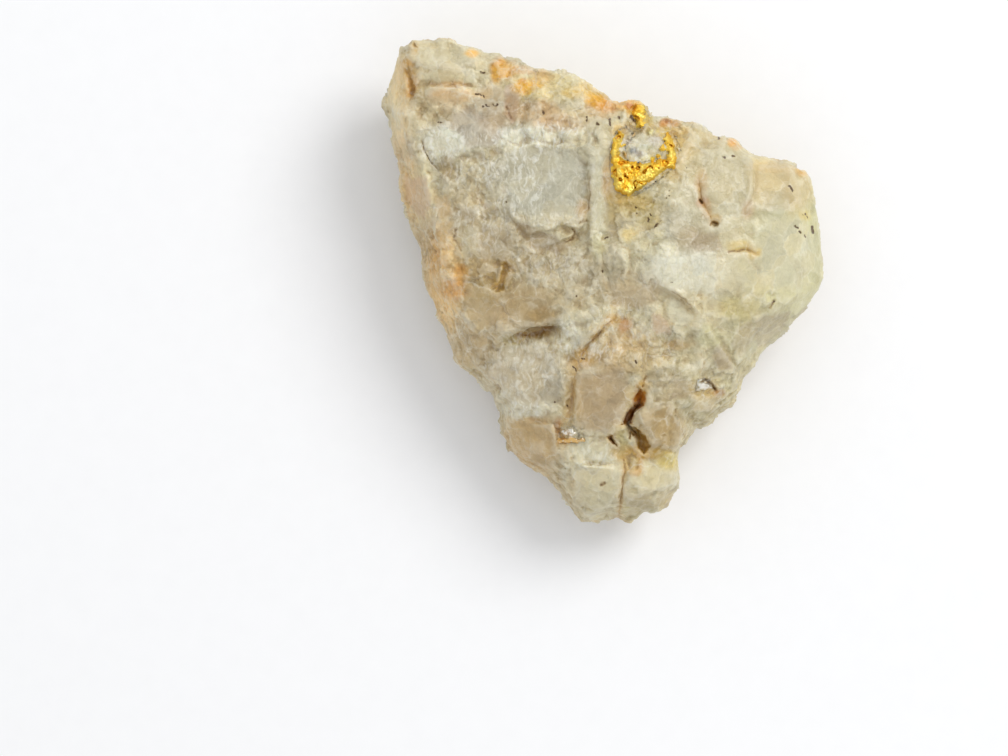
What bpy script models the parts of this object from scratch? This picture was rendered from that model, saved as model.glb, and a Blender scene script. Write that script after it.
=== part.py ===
# Native gold in a broken piece of milky vein quartz, lying on its flat fracture face.
# The stone is a net of hand-placed fracture faces, filled in with finer broken relief.
# Points are in millimetres over the middle of the stone, z up from the face that it rests on.

import math
import random

import bmesh
import bpy
from mathutils import Vector, noise
from mathutils.bvhtree import BVHTree
from mathutils.geometry import delaunay_2d_cdt
from mathutils.kdtree import KDTree

# Driving dimensions
STONE_WIDTH = 0.0443
STONE_LENGTH = 0.0486
HEIGHT_SCALE = 0.001          # metres for one millimetre of the heights below
GAP = 0.0003                  # left between a piece and the stone it sits in
TOP_SPACING = 0.86            # millimetres between the points that fill the upper side
UNDER_SPACING = 1.75          # the same on the sides and the underside
LINE_SPACING = 1.0            # along ridges, ledges and cracks
CLEAR_OF_LINES = 0.42         # fill points keep this far from every line
ABOVE_STONE = 25.0            # millimetres, a height clear of the whole stone
MIDDLE_HEIGHT = 8.0           # millimetres, about halfway up the stone
MERGE_DISTANCE = 1e-5         # points closer than this are one
KEEP_OFF_STEP = 0.3           # spacing of the samples that fill points keep clear of
JITTER = 0.2                  # how far a fill point strays, as a share of the spacing
GIRDLE_SPACING = 1.2
TOP_SEED = 31
UNDER_SEED = 32
LUMP_SEED = 41                # the first rooted piece's seed; the others follow on

# Broken relief: seed, cell size, steepest tilt and highest step of its flat cells
COARSE_RELIEF = (11, 3.1, 0.2, 0.28)
FINE_RELIEF = (12, 1.6, 0.24, 0.14)
UNDER_RELIEF = (21, 3.6, 0.14, 0.3)
RELIEF_REACH = 27             # millimetres that the relief reaches from the middle
CELL_MARGIN = 0.1             # a cell's centre keeps this share of the cell from its border
ROUGH_SIZE = 0.9              # waves in each millimetre of the small swell
ROUGH_HEIGHT = 0.12

# The girdle: the outline seen from above, clockwise from the upper left corner
TOP_EDGE = (
    (-20.5, 23.4, 9.0), (-19.7, 23.7, 9.5), (-19.2, 24.15, 9.6), (-18.2, 24.0, 10.0),
    (-17.2, 24.0, 10.0), (-16.6, 24.3, 10.0), (-15.2, 23.9, 10.3), (-13.2, 23.2, 10.6),
    (-11.8, 22.7, 10.8), (-10.4, 22.5, 11.0), (-9.9, 22.0, 11.0), (-8.5, 21.85, 11.2),
    (-7.2, 21.3, 11.4), (-5.2, 20.9, 11.6), (-4.2, 21.0, 11.7), (-3.0, 20.5, 11.8),
    (-1.7, 19.9, 11.8), (-0.2, 18.9, 12.0), (0.8, 18.1, 12.0), (1.5, 17.8, 12.0),
    (2.2, 18.0, 12.0), (2.9, 18.1, 12.0), (3.6, 17.9, 12.0), (4.3, 17.5, 12.0),
    (4.8, 16.5, 12.0), (5.8, 16.5, 12.0), (7.8, 16.0, 12.0), (9.5, 15.4, 12.0),
    (11.0, 14.6, 11.8), (12.0, 14.5, 11.6), (13.0, 14.3, 11.5), (14.0, 13.3, 11.3),
    (15.1, 12.55, 11.0), (16.3, 12.5, 10.8), (17.5, 11.9, 10.5), (18.3, 11.9, 10.2),
    (19.6, 11.2, 9.8), (20.3, 11.05, 9.4), (20.8, 10.4, 9.0),
)
RIGHT_EDGE = (
    (21.1, 9.6, 8.8), (21.4, 7.6, 8.5), (21.8, 5.1, 8.2), (22.0, 1.9, 8.0),
    (22.2, 0.2, 7.8), (21.7, -1.0, 7.6), (20.2, -2.9, 7.2), (18.8, -4.5, 7.0),
    (16.8, -6.4, 6.8), (15.8, -7.4, 6.6), (15.4, -8.6, 6.5), (14.1, -10.1, 6.4),
    (14.0, -10.9, 6.3), (13.1, -12.15, 6.2), (11.8, -13.2, 6.0), (11.0, -14.35, 6.0),
    (9.6, -14.6, 6.2), (8.3, -16.0, 6.0), (7.8, -16.7, 6.0), (7.6, -17.9, 6.0),
)
LOWER_EDGE = (
    (7.7, -20.7, 5.6), (6.8, -21.5, 5.5), (5.8, -23.0, 5.4), (4.8, -23.25, 5.4),
    (4.0, -23.2, 5.4), (3.4, -23.9, 5.2), (2.8, -24.3, 5.2), (2.0, -24.1, 5.2),
    (1.55, -23.6, 5.4), (0.0, -23.9, 5.0), (-2.2, -24.2, 4.8), (-3.2, -23.15, 4.8),
)
LEFT_EDGE = (
    (-4.2, -21.4, 4.8), (-5.7, -19.8, 4.6), (-8.0, -18.5, 4.5), (-9.7, -16.9, 4.4),
    (-10.3, -14.6, 4.4), (-10.5, -13.2, 4.4), (-11.7, -10.9, 4.4), (-12.7, -9.9, 4.4),
    (-14.7, -8.6, 4.4), (-15.4, -6.7, 4.5), (-16.5, -4.1, 4.6), (-17.9, -0.9, 4.8),
    (-18.3, 1.1, 4.9), (-18.4, 2.8, 5.0), (-19.6, 5.9, 5.2), (-20.45, 8.1, 5.4),
    (-20.7, 9.4, 5.5), (-20.6, 10.8, 5.7), (-21.2, 13.1, 6.0), (-21.45, 16.1, 6.4),
    (-22.1, 17.7, 6.6), (-21.8, 19.3, 7.0), (-21.1, 21.4, 7.6),
)
GIRDLE = TOP_EDGE + RIGHT_EDGE + LOWER_EDGE + LEFT_EDGE

# Corners of the fracture faces on the upper side
CREST_BEHIND_TOP_EDGE = (
    (-19.0, 23.1, 12.0), (-16.2, 23.4, 12.0), (-13.4, 22.5, 12.4), (-12.2, 21.5, 12.9),
    (-10.2, 21.3, 12.9), (-8.2, 20.6, 13.2), (-5.7, 20.1, 13.4), (-3.2, 19.7, 13.4),
    (-1.0, 18.3, 13.4), (1.0, 17.1, 13.6), (2.8, 17.4, 13.8), (4.2, 16.1, 13.9),
    (7.0, 15.1, 13.8), (9.3, 14.6, 13.8), (11.8, 13.5, 13.8), (13.6, 12.6, 13.6),
    (15.8, 11.5, 13.2), (18.3, 10.9, 12.6), (20.0, 9.9, 11.8),
)
CREST_OF_LEFT_SIDE = (
    (-20.0, 21.9, 12.0), (-19.8, 19.1, 12.3), (-20.0, 16.1, 12.6), (-19.4, 13.1, 12.4),
    (-18.4, 10.6, 11.8), (-17.4, 7.6, 12.2), (-16.9, 4.6, 12.0), (-16.5, 1.9, 11.6),
    (-15.4, -0.9, 11.4), (-14.0, -3.9, 11.2), (-13.2, -6.4, 10.6), (-12.2, -9.1, 10.0),
    (-10.7, -11.4, 9.4), (-9.5, -14.4, 8.8), (-8.0, -16.9, 8.4), (-5.7, -18.7, 8.0),
    (-3.9, -20.6, 7.8), (-2.7, -22.6, 7.6),
)
UPPER_LEFT_LOBE = (
    (-16.2, 22.1, 13.6), (-14.7, 21.3, 13.4), (-18.2, 21.1, 13.0), (-18.2, 19.6, 13.3),
    (-15.2, 19.8, 13.6), (-17.2, 17.6, 13.0), (-14.2, 17.8, 13.1), (-16.2, 16.3, 13.0),
)
STAINED_SHOULDER = (
    (-11.7, 19.3, 14.2), (-10.2, 18.1, 14.5), (-10.7, 15.6, 14.0), (-12.2, 16.6, 13.6),
    (-9.1, 19.5, 14.7), (-8.8, 15.6, 14.1), (-8.3, 18.6, 13.8), (-8.5, 16.3, 13.6),
    (-7.2, 19.6, 14.0), (-5.2, 18.6, 14.3), (-6.7, 17.1, 14.6), (-5.2, 15.6, 14.9),
    (-2.7, 16.6, 14.8),
)
FROSTED_RIM = ((-9.7, 14.9, 15.1), (-7.2, 15.1, 15.4), (-4.2, 14.8, 15.5), (-1.7, 14.1, 15.7))
GREY_FACE = (
    (-9.4, 12.9, 14.3), (-6.2, 12.9, 14.4), (-3.2, 12.9, 14.7), (-6.2, 9.6, 14.5),
    (-9.2, 6.6, 14.6), (-5.7, 5.9, 14.8), (-2.4, 5.9, 14.9), (-1.6, 12.1, 15.1),
    (-1.6, 8.1, 15.0),
)
WHITE_PLATE = ((-1.2, 13.1, 15.9), (-1.2, 4.6, 15.7), (0.1, 13.1, 15.5), (0.0, 4.6, 15.3))
SHADED_BAND = ((-9.2, 5.9, 14.5), (-7.2, 3.6, 14.1), (-3.7, 3.1, 14.3), (-3.2, 4.9, 14.6))
FROST_AND_LAVENDER = (
    (-17.2, 14.6, 13.2), (-15.4, 13.5, 13.5), (-13.2, 13.1, 13.5), (-13.2, 15.6, 13.4),
    (-11.2, 14.1, 13.8),
)
LEFT_FIELD = (
    (-15.2, 11.1, 13.2), (-12.2, 10.6, 13.8), (-10.2, 9.1, 14.1), (-16.2, 9.1, 12.8),
    (-13.7, 7.6, 13.5), (-11.2, 6.6, 13.9), (-15.7, 6.1, 12.6), (-13.2, 4.6, 13.3),
    (-10.2, 4.1, 13.7), (-14.7, 3.1, 12.4), (-12.2, 2.1, 13.2), (-9.7, 1.1, 13.2),
    (-13.2, -0.4, 12.3), (-11.2, -1.9, 12.9),
)
BROWN_FACE = (
    (-9.7, -1.1, 13.5), (-7.2, -0.9, 13.9), (-5.2, -1.9, 14.3), (-9.2, -4.1, 13.3),
    (-5.4, -4.3, 13.8), (-8.4, -5.5, 12.2), (-5.7, -5.6, 12.5),
)
MIDDLE = (
    (-4.2, 1.9, 14.6), (-2.2, 3.1, 15.1), (-1.7, 0.1, 15.1), (-4.2, -0.9, 14.5),
    (-2.7, -2.9, 14.7), (-0.4, -1.9, 15.3), (-1.0, -4.9, 14.7),
)
GOLD_SHOULDER = (
    (0.3, 14.1, 15.3), (1.0, 8.1, 15.7), (3.8, 14.1, 15.3), (7.8, 13.1, 15.2),
    (6.0, 9.5, 16.0), (3.8, 8.1, 16.1), (1.8, 6.6, 16.1), (4.8, 7.1, 16.5),
    (5.8, 4.6, 17.0), (4.3, 3.1, 16.9), (1.8, 4.6, 16.3), (2.3, 2.1, 16.5),
    (1.6, -0.4, 16.0), (3.3, -2.4, 15.8),
)
RIGHT_FIELD = (
    (9.8, 12.1, 15.1), (12.8, 10.6, 15.2), (9.8, 7.6, 16.1), (11.3, 5.9, 16.1),
    (14.3, 8.1, 15.4), (17.3, 8.1, 14.6), (16.8, 5.1, 15.0), (13.8, 3.1, 16.0),
    (8.8, 4.6, 16.7), (11.3, 3.1, 16.3), (19.8, 6.6, 12.7), (19.8, 2.1, 12.4),
    (16.8, 0.1, 14.3), (14.3, -0.9, 15.1), (5.3, 1.9, 17.3), (9.8, 1.9, 16.9),
    (11.0, -0.9, 16.2), (6.3, -0.9, 16.8), (11.8, -2.9, 15.3), (8.8, -3.1, 15.8),
    (6.8, -3.9, 15.5), (4.8, -2.9, 16.0), (2.8, -4.9, 15.1), (4.8, -5.4, 15.1),
)
LOWER_RIGHT_SIDE = (
    (19.8, -0.9, 11.5), (17.8, -2.4, 12.9), (14.8, -4.4, 13.6), (13.3, -6.4, 12.9),
    (10.0, -3.9, 15.2), (11.3, -6.9, 13.7), (9.8, -8.4, 13.2), (12.8, -8.9, 11.5),
    (14.3, -6.9, 11.5), (16.8, -4.4, 10.9), (9.3, -9.7, 12.7), (8.8, -11.9, 12.0),
    (11.3, -11.9, 10.4), (12.8, -10.4, 10.2), (6.8, -11.4, 12.9), (7.8, -13.4, 11.3),
    (9.8, -13.4, 9.8),
)
ABOVE_CREVICE = (
    (-0.2, -6.4, 14.3), (1.8, -6.9, 14.6), (4.8, -7.4, 14.6), (7.8, -6.9, 14.4),
    (6.3, -9.4, 14.0), (3.8, -9.1, 13.8), (5.3, -11.1, 13.6),
)
SMOOTH_BLOCK = (
    (-2.6, -8.7, 13.7), (-0.2, -8.4, 13.9), (2.3, -9.1, 13.7), (-2.5, -13.4, 12.9),
    (-0.2, -13.4, 12.9), (2.0, -11.9, 13.1), (-2.2, -15.1, 12.2), (0.3, -15.1, 12.2),
)
FROSTED_LOWER_FACE = (
    (-3.7, -6.4, 13.8), (-6.2, -6.9, 12.6), (-9.2, -7.4, 11.8), (-11.2, -6.4, 11.6),
    (-4.7, -9.9, 12.7), (-7.2, -9.9, 12.0), (-9.7, -10.4, 11.0), (-4.2, -12.4, 11.9),
    (-6.7, -12.4, 11.2), (-8.7, -12.9, 10.4), (-3.2, -8.0, 12.9), (-3.2, -12.9, 12.0),
)
LOWER_LEFT_SIDE = (
    (-8.2, -14.4, 9.6), (-5.7, -14.4, 10.7), (-4.7, -16.4, 10.5), (-6.7, -16.9, 9.4),
    (-4.2, -18.9, 9.6),
)
BOTTOM_LOBES = (
    (-2.7, -16.9, 11.3), (-0.2, -16.4, 11.6), (0.8, -17.9, 11.2), (-2.2, -18.9, 10.7),
    (0.3, -19.9, 10.6), (-1.7, -21.4, 9.4), (0.3, -22.4, 9.0), (-0.7, -23.3, 7.8),
    (2.8, -17.4, 11.3), (5.3, -17.4, 11.0), (6.9, -18.1, 9.8), (2.8, -19.4, 10.9),
    (5.3, -19.4, 10.4), (3.8, -20.9, 10.1), (6.5, -20.4, 9.3), (2.8, -22.4, 9.0),
    (4.8, -22.1, 8.5),
)
PROUD_BLOCK = (
    (3.2, -13.3, 13.4), (4.3, -12.6, 13.6), (6.6, -13.4, 13.0), (7.5, -14.4, 12.1),
    (7.4, -16.3, 11.5), (5.3, -16.3, 12.3), (4.2, -15.2, 13.1),
)
FACE_CORNERS = (
    CREST_BEHIND_TOP_EDGE + CREST_OF_LEFT_SIDE + UPPER_LEFT_LOBE + STAINED_SHOULDER + FROSTED_RIM
    + GREY_FACE + WHITE_PLATE + SHADED_BAND + FROST_AND_LAVENDER + LEFT_FIELD + BROWN_FACE + MIDDLE
    + GOLD_SHOULDER + RIGHT_FIELD + LOWER_RIGHT_SIDE + ABOVE_CREVICE + SMOOTH_BLOCK
    + FROSTED_LOWER_FACE + LOWER_LEFT_SIDE + BOTTOM_LOBES + PROUD_BLOCK
)

# Ledges: the ground on the left of the line, as it is walked, stands higher by the drop
LEDGES = {
    "under the upper lobe": (((-13.4, 19.0), (-15.0, 19.3), (-17.0, 19.4), (-18.6, 18.9)), 0.7),
    "right of the crescent": (((-8.6, 14.9), (-8.3, 16.4), (-8.3, 18.0), (-8.9, 19.4)), 0.5),
    "scalloped frosted rim": (
        ((-1.9, 13.3), (-3.4, 13.7), (-5.2, 13.3), (-7.0, 13.8), (-8.6, 13.2), (-9.8, 13.9)), 0.7),
    "left of the white plate": (((-1.5, 4.9), (-1.5, 8.4), (-1.6, 12.2)), -0.8),
    "under the grey face": (
        ((-2.6, 5.2), (-4.0, 5.6), (-5.8, 4.9), (-7.6, 4.6), (-9.4, 6.4)), -0.7),
    "dark curved ledge": (((-2.0, 5.9), (-3.0, 4.4), (-4.3, 3.8), (-6.4, 3.3)), -0.6),
    "over the olive recess": (((-4.9, -4.4), (-6.6, -4.7), (-8.9, -5.1)), -1.3),
    "left of the smooth block": (((-3.1, -13.8), (-3.0, -11.0), (-2.9, -8.4)), -0.8),
    "pale curved ridge": (((2.2, 0.4), (2.4, 1.8), (1.8, 3.1)), 0.5),
    "arc in the white field": (((6.2, -1.0), (7.8, -1.8), (9.1, -3.1)), 0.6),
    "side of the right plate": (((15.0, 11.4), (15.0, 8.6), (13.9, 6.9)), -0.4),
    "under the left lobe": (((-3.0, -17.9), (-1.4, -18.3), (0.9, -18.4)), -0.6),
    "corner of the right lobe": (((7.2, -20.2), (5.2, -20.9), (3.9, -21.4)), -0.8),
    "side of the left gully": (((-16.9, 7.0), (-17.2, 4.4), (-16.2, 1.6)), 0.7),
    "edge of the triangular face": (((13.0, -8.6), (11.5, -6.2), (10.2, -4.2)), 0.6),
}
LEDGE_HALF_WIDTH = 0.17
LEDGE_REACH = 1.7             # how fast the raised ground falls back to the net
LEDGE_END = 0.15              # share of the drop at a ledge's ends
LEDGE_TAPER = 2.0             # how fast the drop grows from there
CRACK_TAPER = 3.0             # how fast a crack deepens from its ends

# Cracks: the line along the bottom with the width across at each point, and the depth
CRACKS = {
    "stained groove": (
        ((-20.0, 21.6, 0.6), (-19.6, 20.4, 0.8), (-19.2, 18.8, 0.9), (-19.3, 17.9, 0.6)), 0.9),
    "left crack": (
        ((-18.2, 14.0, 0.4), (-18.0, 13.0, 0.5), (-17.4, 11.9, 0.6), (-16.4, 10.9, 0.5)), 0.7),
    "valley in the middle": (
        ((-0.3, 4.4, 0.6), (-0.1, 1.9, 0.6), (0.5, -0.9, 0.7), (1.2, -3.5, 0.7)), 0.6),
    "diagonal stained crack": (((0.9, -3.9, 0.7), (-1.2, -5.9, 0.7), (-2.8, -7.7, 0.8)), 0.8),
    "brown line": (((9.5, 10.2, 0.4), (9.6, 8.0, 0.5), (10.9, 6.1, 0.6)), 0.5),
    "short crack at the right": (((12.4, 2.8, 0.4), (13.9, 3.1, 0.5), (15.2, 2.5, 0.5)), 0.6),
    "between the bottom lobes": (
        ((2.0, -17.6, 0.5), (2.1, -19.2, 0.5), (1.7, -21.2, 0.6), (1.5, -23.0, 0.8)), 0.7),
    "left gully": (((-17.6, 4.3, 0.9), (-16.9, 2.3, 1.0), (-16.4, 0.4, 0.9)), 0.6),
    "deep crevice": (
        ((3.4, -10.3, 0.3), (3.65, -11.3, 1.0), (3.5, -12.4, 0.8), (2.8, -13.4, 0.7), (2.25, -14.2, 0.6),
         (3.0, -14.9, 0.9), (3.9, -15.8, 1.5), (4.3, -16.8, 1.0)), 3.2),
}

# Hollows: the rim, and the depth of the floor
HOLLOWS = {
    "small three-cornered hole": (((0.3, -15.5), (0.9, -15.4), (1.3, -16.5)), 1.4),
    "pit of the lower grain": (
        ((-4.7, -14.1), (-2.6, -14.5), (-2.1, -15.6), (-2.7, -16.6), (-4.8, -16.6)), 1.3),
    "pit of the right grain": (
        ((9.1, -9.7), (10.6, -9.6), (11.6, -10.8), (10.4, -11.5), (8.9, -11.2)), 1.2),
    "hole at the end of the brown line": (((10.5, 5.6), (11.0, 6.0), (11.6, 5.5), (11.0, 5.2)), 0.8),
}
HOLLOW_FLOOR = 0.62           # size of the floor beside the rim

# Smooth ground: centre, radii and how much of the broken relief is left on it
SMOOTH_CORE = 0.75            # fully smooth up to this share of the radii
SMOOTH_BLEND = 0.5            # and back to full relief over this share more
SMOOTH_AREAS = (
    ((14.0, 6.0), (7.5, 8.0), 0.25), ((8.0, 0.5), (3.4, 2.6), 0.35), ((-5.9, 9.6), (4.4, 4.2), 0.25),
    ((-0.2, -11.6), (2.6, 3.4), 0.25), ((-18.6, 9.0), (1.5, 2.8), 0.3), ((-15.6, 21.8), (3.4, 1.6), 0.3),
    ((17.5, -1.0), (4.0, 5.0), 0.35), ((4.0, -19.0), (3.0, 3.0), 0.5),
)

# The flat fracture face underneath, and the broken faces between it and the girdle
RESTING_FACE = (
    (-12.6, 13.4), (-6.2, 14.1), (0.4, 11.2), (8.4, 9.6), (14.2, 6.1), (15.1, 1.2), (10.4, -3.6),
    (6.2, -8.8), (3.1, -15.4), (0.1, -16.6), (-3.4, -11.2), (-8.6, -5.1), (-12.1, 1.4), (-13.2, 7.6),
)
UNDER_CORNERS = (
    (-17.4, 16.0, 0.9), (-14.5, 18.6, 1.4), (-9.0, 17.2, 0.8), (-4.0, 16.3, 1.5), (1.5, 13.6, 0.7),
    (8.0, 12.8, 1.3), (13.0, 9.9, 0.8), (17.8, 7.2, 1.2), (18.3, 2.2, 0.6), (15.2, -2.8, 1.1),
    (10.8, -7.0, 0.6), (8.9, -11.4, 1.2), (4.8, -16.2, 0.6), (4.0, -20.4, 1.1), (-0.8, -20.4, 0.8),
    (-5.0, -15.6, 0.6), (-8.2, -11.6, 1.0), (-13.0, -5.2, 0.7), (-15.8, 2.2, 1.1), (-16.2, 9.6, 0.6),
    (-19.4, 19.2, 3.4), (-16.4, 21.8, 5.6), (-10.2, 20.2, 4.4), (-4.6, 19.0, 6.6), (0.4, 16.4, 5.2),
    (5.6, 15.2, 7.0), (11.2, 13.0, 4.8), (16.2, 10.8, 6.2), (19.8, 7.4, 3.4), (20.6, 1.4, 3.0),
    (18.4, -2.4, 3.4), (14.0, -7.0, 2.4), (12.0, -11.6, 3.2), (7.4, -15.6, 2.2), (6.2, -20.4, 3.0),
    (1.0, -22.6, 2.6), (-3.4, -19.6, 2.0), (-7.8, -16.0, 2.6), (-11.0, -10.2, 1.8),
    (-15.0, -4.6, 2.6), (-17.2, 2.0, 1.9), (-18.8, 9.2, 2.8), (-20.0, 14.6, 2.6),
)
UNDER_FLAT = 1.5              # the underside's relief grows over this height from the resting face
WALL_PUSH = 0.7               # how far the broken side walls are pushed in, at most
LEAST_PUSH = 0.1              # and at least, as a share of that
WALL_CELLS = 240
WALL_BOX = (24, 26, 12)       # the cells lie within this x, y and height
WALL_NORMALS = (-0.75, 0.2)   # walls are the faces whose normal rises between these
WALL_SEED = 77
GIRDLE_WANDER = 1.1           # how far the girdle rises and dips
GIRDLE_WAVES = 0.22           # waves in each millimetre of the girdle's wander

# The gold: plan outline, how far it stands proud and how deep it is rooted
GOLD_MASS_PLAN = (
    (2.2, 15.0), (1.5, 14.6), (1.1, 13.8), (0.9, 12.8), (0.8, 11.5), (1.0, 10.1), (1.5, 9.3),
    (2.1, 8.8), (3.0, 8.7), (4.0, 9.3), (5.3, 10.2), (6.4, 11.1), (7.0, 11.7), (7.2, 13.1),
    (7.0, 14.0), (6.6, 14.5), (6.2, 14.2), (6.3, 13.1), (6.0, 12.3), (5.2, 11.7), (4.2, 11.4),
    (3.0, 11.3), (2.2, 11.6), (1.8, 12.3), (1.85, 13.2), (2.2, 13.9), (2.6, 14.5),
)
GOLD_BEAD_PLAN = (
    (2.7, 16.5), (3.3, 16.75), (3.9, 16.6), (4.2, 16.1), (4.2, 15.6), (3.7, 15.2), (3.0, 15.35),
    (2.6, 15.9),
)
GOLD_PROUD = 0.45
GOLD_ROOT = 1.5
BEAD_ROOT = 0.8
GOLD_SPACING = 0.42
HACKLE = 0.35                 # height of the torn relief on the gold
TORN_RELIEF = (0.7, 0.5, 0.5)  # cell size, tilt and step of the torn relief
LUMP_SHOULDER = 0.6           # the top rises over this distance from the edge
LUMP_CROWN = 0.8              # and by this share of the relief's height

# The two bright grains: plan outline, in the floor of their pits
LOWER_GRAIN_PLAN = ((-4.2, -14.8), (-3.2, -14.7), (-2.7, -15.3), (-3.0, -15.9), (-4.2, -16.0))
RIGHT_GRAIN_PLAN = ((9.6, -10.1), (10.3, -10.1), (10.7, -10.7), (10.1, -10.9), (9.5, -10.7))
GRAIN_TOP = -0.35             # against the ground around the pit
GRAIN_ROOT = 2.0
GRAIN_SPACING = 0.35
GRAIN_HACKLE = 0.2

NODE_COLOURS = {
    "quartz": (0.62, 0.57, 0.46, 0.45, 0.0),
    "gold_mass": (0.83, 0.58, 0.12, 0.32, 1.0),
    "gold_bead": (0.80, 0.56, 0.12, 0.32, 1.0),
    "metal_grain_lower": (0.70, 0.60, 0.48, 0.3, 1.0),
    "metal_grain_right": (0.66, 0.65, 0.60, 0.3, 1.0),
}


def clear_scene():
    for thing in list(bpy.data.objects):
        bpy.data.objects.remove(thing, do_unlink=True)


def outline_frame(points):
    """Middle of the outline and the scale that brings it to the stone's real size."""
    xs = [p[0] for p in points]
    ys = [p[1] for p in points]
    middle = ((min(xs) + max(xs)) / 2, (min(ys) + max(ys)) / 2)
    scale = (STONE_WIDTH / (max(xs) - min(xs)), STONE_LENGTH / (max(ys) - min(ys)))
    return middle, scale


MIDDLE_POINT, PLAN_SCALE = outline_frame(GIRDLE)


def placed(x, y, z):
    """A point of the lists above as a place in metres."""
    return Vector((
        (x - MIDDLE_POINT[0]) * PLAN_SCALE[0],
        (y - MIDDLE_POINT[1]) * PLAN_SCALE[1],
        z * HEIGHT_SCALE,
    ))


def resampled(points, spacing, closed=False):
    """The polyline with points no further apart than the spacing; the corners stay."""
    ends = list(points[1:]) + ([points[0]] if closed else [])
    result = []
    for start, end in zip(points, ends):
        length = math.dist(start[:2], end[:2])
        count = max(1, round(length / spacing))
        for i in range(count):
            t = i / count
            result.append(tuple(a + (b - a) * t for a, b in zip(start, end)))
    if not closed:
        result.append(tuple(points[-1]))
    return result


def inside(x, y, outline):
    """Whether a point lies inside a closed outline."""
    found = False
    for a, b in zip(outline, outline[1:] + outline[:1]):
        if (a[1] > y) != (b[1] > y):
            if x < (b[0] - a[0]) * (y - a[1]) / (b[1] - a[1]) + a[0]:
                found = not found
    return found


def distance_to_line(x, y, points):
    """Distance to an open polyline, and the side: 1 on the left as it is walked, -1 on the right."""
    best = (1e9, 1)
    for a, b in zip(points, points[1:]):
        dx = b[0] - a[0]
        dy = b[1] - a[1]
        t = max(0.0, min(1.0, ((x - a[0]) * dx + (y - a[1]) * dy) / (dx * dx + dy * dy)))
        away = math.dist((x, y), (a[0] + t * dx, a[1] + t * dy))
        if away < best[0]:
            side = 1 if dx * (y - a[1]) - dy * (x - a[0]) > 0 else -1
            best = (away, side)
    return best


def offset_line(points, offset):
    """The polyline moved sideways; a positive offset moves it to its left."""
    moved = []
    for i, point in enumerate(points):
        before = points[max(0, i - 1)]
        after = points[min(len(points) - 1, i + 1)]
        dx = after[0] - before[0]
        dy = after[1] - before[1]
        length = math.hypot(dx, dy)
        moved.append((point[0] - dy / length * offset, point[1] + dx / length * offset))
    return moved


def offset_loop(points, offset):
    """The closed outline grown outwards by the offset, whichever way round it is walked."""
    area = sum(a[0] * b[1] - b[0] * a[1] for a, b in zip(points, points[1:] + points[:1]))
    if area > 0:
        offset = -offset
    moved = []
    count = len(points)
    for i, point in enumerate(points):
        before = points[i - 1]
        after = points[(i + 1) % count]
        dx = after[0] - before[0]
        dy = after[1] - before[1]
        length = math.hypot(dx, dy)
        moved.append((point[0] - dy / length * offset, point[1] + dx / length * offset))
    return moved


def height_net(points, loop_length):
    """The coarse net over the given points: a function from x and y to its height."""
    flat = [Vector((p[0], p[1])) for p in points]
    loop = [(i, (i + 1) % loop_length) for i in range(loop_length)]
    verts, _, faces, origins, _, _ = delaunay_2d_cdt(flat, loop, [], 1, MERGE_DISTANCE)
    solid = [Vector((v.x, v.y, points[origins[i][0]][2])) for i, v in enumerate(verts)]
    tree = BVHTree.FromPolygons(solid, faces)

    def height(x, y):
        hit = tree.ray_cast(Vector((x, y, ABOVE_STONE)), Vector((0, 0, -1)))[0]
        if hit is None:
            hit = tree.find_nearest(Vector((x, y, MIDDLE_HEIGHT)))[0]
        return hit.z

    return height


def broken_relief(seed, spacing, tilt, step):
    """Small flat fracture faces: each cell of a jittered grid has its own tilt and level."""
    draw = random.Random(seed)
    count = int(2 * RELIEF_REACH / spacing) + 1
    tree = KDTree(count * count)
    cells = []
    for i in range(count):
        for j in range(count):
            x = -RELIEF_REACH + (i + draw.uniform(CELL_MARGIN, 1 - CELL_MARGIN)) * spacing
            y = -RELIEF_REACH + (j + draw.uniform(CELL_MARGIN, 1 - CELL_MARGIN)) * spacing
            tree.insert(Vector((x, y, 0)), len(cells))
            tilt_x = draw.uniform(-tilt, tilt)
            tilt_y = draw.uniform(-tilt, tilt)
            cells.append((x, y, tilt_x, tilt_y, draw.uniform(-step, step)))
    tree.balance()

    def relief(x, y):
        cell = cells[tree.find(Vector((x, y, 0)))[1]]
        return cell[4] + (x - cell[0]) * cell[2] + (y - cell[1]) * cell[3]

    return relief


def roughness_at(x, y):
    """How much of the broken relief shows at a point."""
    left = 1.0
    for (cx, cy), (rx, ry), least in SMOOTH_AREAS:
        away = math.hypot((x - cx) / rx, (y - cy) / ry)
        blend = (away - SMOOTH_CORE) / SMOOTH_BLEND
        amount = least + (1 - least) * min(1.0, max(0.0, blend))
        left = min(left, amount)
    return left


def ledge_lift(x, y):
    """How far the ledges raise or lower the ground at a point."""
    lift = 0.0
    for line, drop in LEDGES.values():
        away, side = distance_to_line(x, y, line)
        if away < 3 * LEDGE_REACH:
            lift += side * drop / 2 * math.exp(-away / LEDGE_REACH)
    return lift


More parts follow.
